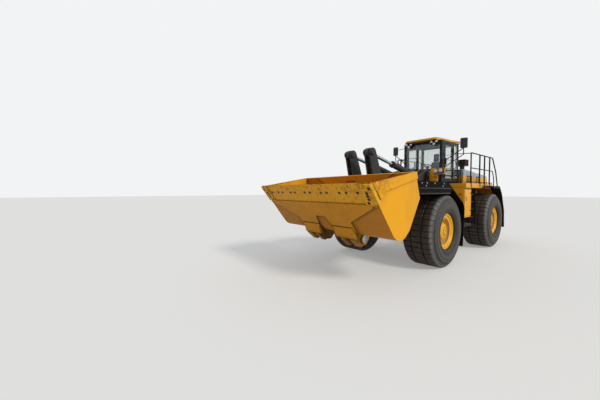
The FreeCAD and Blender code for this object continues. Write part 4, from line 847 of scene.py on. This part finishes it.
for name, body, radius, spots, material in (
        ("tower_pin_keepers", "front_frame", 0.135, ((1250, 980, 3350),), bright_steel),
        ("tower_lower_keepers", "front_frame", 0.1, ((380, 960, 1600),), bright_steel),
        ("crank_pin_keepers", "lift_arms", 0.13, ((4350, 635, 2700),), bright_steel),
        ("lift_eye_keepers", "lift_arms", 0.095, ((LIFT_EYE[0], 880, LIFT_EYE[1]),), bright_steel),
        ("crank_end_keepers", "bellcranks", 0.1, [(x, 600, z) for x, z in (CRANK_TOP, CRANK_LOW)], linkage_coat),
        ("bucket_pin_keepers", "bucket", 0.125, ((5900, 1040, 1230),), bright_steel)):
    settle_pair(name, [keepers(name, radius, spots)], body, material)
inner = keepers("crank_inner_keepers", 0.1, [(x, 260, z) for x, z in (CRANK_TOP, CRANK_LOW)], out=-1)
settle_pair("crank_inner_keepers", [inner], "bellcranks", linkage_coat)
for name, body, (x, z), y, radius, half in (("tilt_eye_drums", "tilt_rods", CRANK_TOP, 430, 0.0745, 0.058),
                                            ("lift_eye_drums", "lift_rods", LIFT_EYE, 760, 0.0545, 0.075),
                                            ("link_eye_drums", "bucket_links", CRANK_LOW, 430, 0.0795, 0.06)):
    drum = eye_drum(name, radius, half, (x, y, z), (0, 1, 0), 32)
    settle_pair(name, [drum], body, linkage_coat)
for side, body in ((1, "steer_rod_left"), (-1, "steer_rod_right")):
    drum = eye_drum("drum", 0.0545, 0.075, (STEER_EYE[0], STEER_EYE[1] * side, STEER_EYE[2]), (0, 0, 1), 28)
    settle(joined(body + "_drum", [drum]), body, bare_steel)


# Cylinder rods: hard-chromed steel, polished, with an oil film that holds a little dust. The forged
# eye at a rod's end is sprayed like the linkage.
def rod_finish(name, eye_x, eye_z, radius):
    """Chrome with the linkage grey within radius metres of the rod eye's axis."""
    chrome = blank(name)
    centre = at(eye_x, 0, eye_z)
    spot = add(chrome, "TexCoord", out="Object")
    flat = add(chrome, "VectorMath", spot, (1, 0, 1), operation="MULTIPLY")
    reach = add(chrome, "VectorMath", flat, (centre.x, 0, centre.z), operation="DISTANCE", out="Value")
    eye = add(chrome, "MapRange", reach, From_Min=radius + 0.004, From_Max=radius)
    tone = patches(chrome, (0.3, 6), (0.35, "#C8CBCD"), (0.7, "#A9A69F"))
    bare = add(chrome, "Math", 1.0, eye, operation="SUBTRACT")
    film = patches(chrome, (0.1, 7), (0.3, 0.1), (0.75, 0.3))
    rough = add(chrome, "Math", film, where_all(chrome, eye, 0.3), operation="ADD", use_clamp=True)
    add(chrome, "OutputMaterial", add(chrome, "BsdfPrincipled", over(chrome, tone, "#26282B", eye),
                                      Metallic=bare, Roughness=rough))
    return chrome


dress(rod_finish("tilt_rod_chrome", *CRANK_TOP, 0.24), "chrome_rod", "tilt_rods")
dress(rod_finish("lift_rod_chrome", *LIFT_EYE, 0.2), "chrome_rod", "lift_rods")
dress(rod_finish("steer_rod_chrome", STEER_EYE[0], STEER_EYE[2], 0.14), "chrome_rod",
      "steer_rod_left", "steer_rod_right")

# Bucket: welded wear-resistant plate, yellow enamel outside. Digging has scraped the paint off the
# edge and scored the floor in the direction of travel; the underside is darker with soil stain and painted shade.
ROLL = math.radians(51.4)
BUCKET_PIN = at(5900, 0, 1230)
FLOOR_Z = -0.24
WEAR_T = 0.03
PLATE_REAR = (0.98, 1.17)
PLATE_FRONT = (1.58, 2.17)
NOTCH_REAR = (0.56, 0.36)
NOTCH_FRONT = (1.12, 0.2)


def in_bucket(x, y, z):
    """Place in the carried bucket, from the level bucket's own measures about its pin."""
    return BUCKET_PIN + Vector((x * math.cos(ROLL) - z * math.sin(ROLL), y,
                                x * math.sin(ROLL) + z * math.cos(ROLL)))


def half_width(material, run, rear, front):
    """Half width of an outline that runs straight between two places as (ahead of the pin, half width)."""
    return add(material, "MapRange", run, From_Min=rear[0], From_Max=front[0], To_Min=rear[1], To_Max=front[1])


def bucket_enamel(name, scrape_from, scrape_full, tone="#E9A414", shade="#DA9817", underside_soil_shade_tone="#B67718"):
    """Bucket paint whose scraping grows from one distance ahead of the pin to another."""
    coat = blank(name)
    ahead_way = Vector((math.cos(ROLL), 0, math.sin(ROLL)))
    up_way = Vector((-math.sin(ROLL), 0, math.cos(ROLL)))
    spot = add(coat, "TexCoord").node.outputs
    run = add(coat, "VectorMath", spot["Object"], ahead_way, operation="DOT_PRODUCT", out="Value")
    rise = add(coat, "VectorMath", spot["Object"], up_way, operation="DOT_PRODUCT", out="Value")
    down = add(coat, "VectorMath", spot["Normal"], -up_way, operation="DOT_PRODUCT", out="Value")
    pin_run, pin_rise = BUCKET_PIN.dot(ahead_way), BUCKET_PIN.dot(up_way)
    ahead_of_pin = add(coat, "Math", run, pin_run, operation="SUBTRACT")
    wide = add(coat, "Math", add(coat, "SeparateXYZ", spot["Object"], out="Y"), operation="ABSOLUTE")
    sideways = add(coat, "Math", add(coat, "SeparateXYZ", spot["Normal"], out="Y"), operation="ABSOLUTE")
    near_lip = add(coat, "MapRange", run, From_Min=pin_run + scrape_from, From_Max=pin_run + scrape_full)
    below = add(coat, "ValToRGB", down, stops=((0.15, 0.0), (0.6, 1.0)))

    # Paint that has faded in broad patches, darker brown on every face that looks down: soil stain and painted shade.
    faded = patches(coat, (1.3, 5, 0.62), (0.4, 0.0), (0.7, 1.0))
    underside_soil_shade_mask = patches(coat, (0.5, 7, 0.66), (0.25, 0.62), (0.7, 0.95))
    body = over(coat, tone, shade, faded)
    body = over(coat, body, underside_soil_shade_tone, underside_soil_shade_mask, below)

    # Painted shade in the recesses beside the wear plate and between the lugs, darker still in the crease along their
    # edges.
    outside = add(coat, "Math", wide, half_width(coat, ahead_of_pin, PLATE_REAR, PLATE_FRONT),
                  operation="SUBTRACT")
    inside = add(coat, "Math", half_width(coat, ahead_of_pin, NOTCH_REAR, NOTCH_FRONT), wide,
                 operation="SUBTRACT")
    notch_end = add(coat, "Math", NOTCH_FRONT[0], ahead_of_pin, operation="SUBTRACT")
    inside = add(coat, "Math", inside, notch_end, operation="MINIMUM")
    depth_in = add(coat, "Math", outside, inside, operation="MAXIMUM")
    recess_shade = where_all(coat, add(coat, "MapRange", depth_in, From_Min=0.0, From_Max=0.01, To_Max=0.62),
                       add(coat, "MapRange", ahead_of_pin, From_Min=1.66, From_Max=1.64))
    body = over(coat, body, "#A0641D", recess_shade, below)
    crease_shade = add(coat, "MapRange", depth_in, From_Min=0.22, From_Max=0.0, To_Max=0.9)
    body = over(coat, body, "#2E1B0A", crease_shade, recess_shade, below)
    # Soil and painted shade in the bucket's corners, by ambient occlusion.
    body = over(coat, body, "#2B1A0C", corner_soil_and_shade(coat, 0.25, 0.8))

    # Dark brown on the lugs, soil and painted shade: behind the pin and below it, and on the faces that meet the
    # links.
    lug_soil_shade_behind_pin = where_all(coat, add(coat, "MapRange", ahead_of_pin, From_Min=0.46, From_Max=0.38),
                      add(coat, "MapRange", wide, From_Min=1.12, From_Max=1.1),
                      add(coat, "MapRange", rise, From_Min=pin_rise, From_Max=pin_rise - 0.1),
                      patches(coat, (0.2, 8, 0.7), (0.35, 0.35), (0.65, 0.85)))
    body = over(coat, body, "#5E4420", lug_soil_shade_behind_pin)
    lug_soil_shade_between = where_all(coat, add(coat, "MapRange", wide, From_Min=0.56, From_Max=0.52, To_Max=0.85),
                        add(coat, "ValToRGB", sideways, stops=((0.5, 0.0), (0.8, 1.0))))
    body = over(coat, body, "#4A3418", lug_soil_shade_between)

    # Scores along the way of travel, bare patches that grow towards the lip, and worn edges.
    streaks = mottle(coat, 0.055, 7, 0.62, stretch=(1, 1, 0.10), turn=math.pi / 2 - ROLL)
    scrape = add(coat, "Math", near_lip, where_all(coat, below, 0.2), operation="ADD", use_clamp=True)
    streaks = add(coat, "ValToRGB", streaks, stops=((0.56, 0.0), (0.61, 1.0)))
    body = over(coat, body, "#3A2C1C", streaks, scrape)
    corner = add(coat, "MapRange", wide, From_Min=1.2, From_Max=2.3, To_Min=0.03, To_Max=0.12)
    scuffs = add(coat, "Math", mottle(coat, 0.16, 10, 0.72), corner, operation="ADD", use_clamp=True)
    scuffs = add(coat, "ValToRGB", scuffs, stops=((0.585, 0.0), (0.64, 1.0)))
    body = over(coat, body, "#35291C", scuffs, near_lip)
    flakes = patches(coat, (0.08, 9, 0.75), (0.48, 0.0), (0.56, 1.0))
    body = over(coat, body, "#4A3B2A", edge_mask(coat, 0.02), flakes)

    rough = patches(coat, (0.3, 7, 0.65), (0.3, 0.36), (0.7, 0.62))
    pits = add(coat, "Bump", Strength=0.15, Distance=0.004, Height=mottle(coat, 0.03, 6, 0.7))
    add(coat, "OutputMaterial", add(coat, "BsdfPrincipled", body, IOR=1.5, Specular_IOR_Level=0.15,
                                    Roughness=rough, Normal=pits))
    return coat


bucket_coat = bucket_enamel("bucket_enamel", 1.5, 3.0)
edge_coat = bucket_enamel("scraped_edge_enamel", 1.5, 3.6, "#F6B41E", "#DAA022", "#D0921F")
dress(bucket_coat, "yellow_paint", "bucket_shell")
dress(edge_coat, "worn_steel", "bucket_edge")

# Cutting edge bolts: plough bolts hold the edge and its cast corner pieces from below. Their heads
# lie in countersunk holes packed with dark soil.
BOLT_ROW = (0.12, 0.60, 0.84, 1.31, 1.55, 1.92)
CORNER_BOLTS = ((2.2, 2.33), (2.06, 2.21), (1.97, 2.20), (1.87, 2.19), (1.75, 2.14))
packed_soil = patchy("packed_soil", (0.02, 6, 0.7), ((0.3, "#16120E"), (0.7, "#3A2C1E")), 0.9)
turn = Matrix.Rotation(-ROLL, 4, "Y")
places = []
for side in (1, -1):
    places += [Matrix.Translation(in_bucket(2.05, y * side, FLOOR_Z)) @ turn for y in BOLT_ROW]
    places += [Matrix.Translation(in_bucket(x, y * side, FLOOR_Z - WEAR_T)) @ turn for x, y in CORNER_BOLTS]
head = spun("plough_bolt", [(0.0, -0.004), (0.026, -0.004), (0.03, 0.001), (0.042, -0.006), (0.045, 0.002)],
            (0, 0, 0), (0, 0, 1), 14)
settle(copies("edge_bolts", head, places), "bucket", packed_soil)

# Bucket welds and seams: a weld bead along each slanted edge of the wear plate, under the same paint,
# and packed soil in the step where the lug boxes meet the floor.
SEAM_X = 0.744
beads = [tube("weld", [in_bucket(x, y * side, FLOOR_Z - 0.004) for x, y in (PLATE_FRONT, PLATE_REAR)], 0.012)
         for side in (1, -1)]
settle(joined("wear_plate_welds", beads), "bucket", bucket_coat)
seams = [tube("soil_seam", [in_bucket(SEAM_X, y * side, z) for y, z in ((0.3, -0.274), (0.7, -0.273), (1.1, -0.274))],
              0.013) for side in (1, -1)]
settle(joined("soil_seams", seams), "bucket", packed_soil)

# Tyres: earthmover tyres with three rows of moulded lugs, pressed on the rims' bead seats. The rubber
# is near black on the lugs and dusty on the sides; the ribbed sidewall has rings of painted shade in its
# grooves and paler rings with painted highlight on its ribs and along the shoulder.
TREAD_R = 1.2985
AXLE_X = 2.725
AXLE_Z = 1.3
WHEEL_Y = 1.7
LUGS = 40
PITCH = 2 * math.pi / LUGS
LUG_LENGTH = 0.9 * PITCH * TREAD_R

rubber = blank("dusty_tyre_rubber")
spot = add(rubber, "SeparateXYZ", add(rubber, "TexCoord", out="Object")).node.outputs
width = add(rubber, "Math", add(rubber, "Math", spot["Y"], operation="ABSOLUTE"), WHEEL_Y, operation="SUBTRACT")
width = add(rubber, "Math", width, operation="ABSOLUTE")
along = add(rubber, "Math", add(rubber, "Math", spot["X"], at(0, 0, 0).x, operation="SUBTRACT"),
            operation="ABSOLUTE")
along = add(rubber, "Math", along, AXLE_X, operation="SUBTRACT")
upward = add(rubber, "Math", spot["Z"], AXLE_Z, operation="SUBTRACT")
radius = add(rubber, "VectorMath", add(rubber, "CombineXYZ", along, 0.0, upward), operation="LENGTH", out="Value")
# Rings of painted light and shade on the sidewall: dark in the grooves, paler on the ribs.
sidewall_light_and_shade = add(rubber, "ValToRGB", add(rubber, "MapRange", radius, From_Min=0.6, From_Max=1.3), stops=(
    (0.05, "#191715"), (0.2, "#282623"), (0.24, "#131211"), (0.32, "#2E2C29"), (0.48, "#44423F"),
    (0.52, "#211F1D"), (0.6, "#3B3936"), (0.7, "#34322F"), (0.74, "#141312"), (0.8, "#2A2825"), (0.9, "#3F3E3C")))
sidewall = add(rubber, "MapRange", width, From_Min=0.40, From_Max=0.5)
body = add(rubber, "Mix", sidewall, data_type="RGBA", i6="#251A11", i7=sidewall_light_and_shade, out=2)
# Painted highlight: a pale grey along the tyre's shoulder, in patches.
shoulder = add(rubber, "Math", add(rubber, "Math", width, 0.485, operation="SUBTRACT"), operation="ABSOLUTE")
shoulder_highlight = where_all(rubber, add(rubber, "MapRange", shoulder, From_Min=0.06, From_Max=0.0),
                   add(rubber, "MapRange", radius, From_Min=1.1, From_Max=1.16))
body = over(rubber, body, "#77797A", shoulder_highlight, patches(rubber, (0.12, 8, 0.7), (0.35, 0.2), (0.65, 0.9)))
dust = patches(rubber, (0.3, 8, 0.68), (0.42, 0.0), (0.72, 1.0))
body = over(rubber, body, "#5B4A39", dust, 0.3)
# Soil and painted shade in the tyre's corners, by ambient occlusion.
body = over(rubber, body, "#0E0B09", corner_soil_and_shade(rubber, 0.12, 0.6))
scuff = mottle(rubber, 0.02, 6, 0.7)
add(rubber, "OutputMaterial", add(rubber, "BsdfPrincipled", body, IOR=1.5,
                                  Roughness=add(rubber, "ValToRGB", scuff, stops=((0.3, 0.55), (0.7, 0.8))),
                                  Normal=add(rubber, "Bump", Strength=0.25, Distance=0.004, Height=scuff)))

SIDEWALL = [(0.6375, 0.485), (0.66, 0.53), (0.70, 0.560), (0.755, 0.571), (0.765, 0.579), (0.79, 0.579),
            (0.80, 0.572), (0.93, 0.582), (0.955, 0.585), (0.965, 0.578), (1.06, 0.566), (1.075, 0.572),
            (1.10, 0.566), (1.11, 0.556), (1.19, 0.505), (1.245, 0.43), (1.262, 0.40), (1.262, 0.206),
            (1.25, 0.2), (1.25, 0.17), (1.262, 0.164)]
MIDDLE_LUG = [(1.25, -0.163), (TREAD_R, -0.163), (TREAD_R, 0.163), (1.25, 0.163)]
SHOULDER_LUG = [(1.25, 0.207), (TREAD_R, 0.207), (TREAD_R, 0.40), (1.272, 0.455), (1.19, 0.521),
                (1.14, 0.548), (1.13, 0.53), (1.19, 0.49), (1.24, 0.42)]


def lug(outline, side):
    """One tread lug from its outline in radius and width, standing at the top of the tyre."""
    piece = plate("lug", [Vector((-LUG_LENGTH / 2, a * side, r)) for r, a in outline], (LUG_LENGTH, 0, 0))
    return soften(piece, 0.009, 1)


def around(count, place):
    """Matrices that set a place count times round the wheel's axis."""
    return [Matrix.Rotation(2 * math.pi * i / count, 4, "Y") @ place for i in range(count)]


tread_lugs = joined("lugs", [lug(MIDDLE_LUG, 1), lug(SHOULDER_LUG, 1), lug(SHOULDER_LUG, -1)])
carcass = spun("carcass", [(r, -a) for r, a in SIDEWALL] + [(r, a) for r, a in reversed(SIDEWALL)], steps=96)
tread = copies("tread", tread_lugs, around(LUGS, Matrix.Identity(4)))
tyre_pattern = joined("tyre_pattern", [carcass, tread])

# Rims: rolled steel in yellow enamel with a bright lock ring that holds the flange, and a hub whose
# bolts and cap bolts are plain steel.
OUTWARD = Matrix.Rotation(-math.pi / 2, 4, "X")
rim_coat = enamel("rim_yellow_enamel", "#F2B01C", "#E4A21B", 0.08, chips=0.4, sand_tone="#A9803F", soil_shade_strength=0.3)
lock_ring = spun("lock_ring", [(0.436, 0.388), (0.44, 0.412), (0.452, 0.418), (0.466, 0.412), (0.472, 0.392),
                               (0.455, 0.384)], steps=64)
hub_bolts = copies("hub_bolts", bolt("hub_bolt", 0.02, 0.03),
                   around(20, Matrix.Translation((0, 0.279, 0.375)) @ OUTWARD))
cap_bolts = copies("cap_bolts", bolt("cap_bolt", 0.016, 0.024),
                   around(10, Matrix.Translation((0, 0.418, 0.15)) @ OUTWARD))
hub_step = spun("hub_step", [(0.06, 0.418), (0.062, 0.436), (0.1, 0.44), (0.105, 0.418)], steps=48)
for wheel, x, side in (("front_left", 1, 1), ("front_right", 1, -1), ("rear_left", -1, 1), ("rear_right", -1, -1)):
    place = at(x * AXLE_X * 1000, side * WHEEL_Y * 1000, AXLE_Z * 1000)
    place = Matrix.Translation(place) @ Matrix.Scale(side, 4, (0, 1, 0))
    tyre = joined("lugged_tyre_" + wheel, [copy_to(tyre_pattern, place)])
    settle(tyre, "wheel_" + wheel, rubber)
    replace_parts(tyre, "tyre_" + wheel)
    dress(rim_coat, "yellow_paint", "rim_" + wheel)
    bright = joined("lock_ring_" + wheel, [copy_to(part, place) for part in (lock_ring, hub_bolts, cap_bolts)])
    settle(bright, "wheel_" + wheel, bare_steel)
    settle(joined("hub_step_" + wheel, [copy_to(hub_step, place)]), "wheel_" + wheel, rim_coat)
for pattern in (tyre_pattern, lock_ring, hub_bolts, cap_bolts, hub_step):
    bpy.data.objects.remove(pattern)
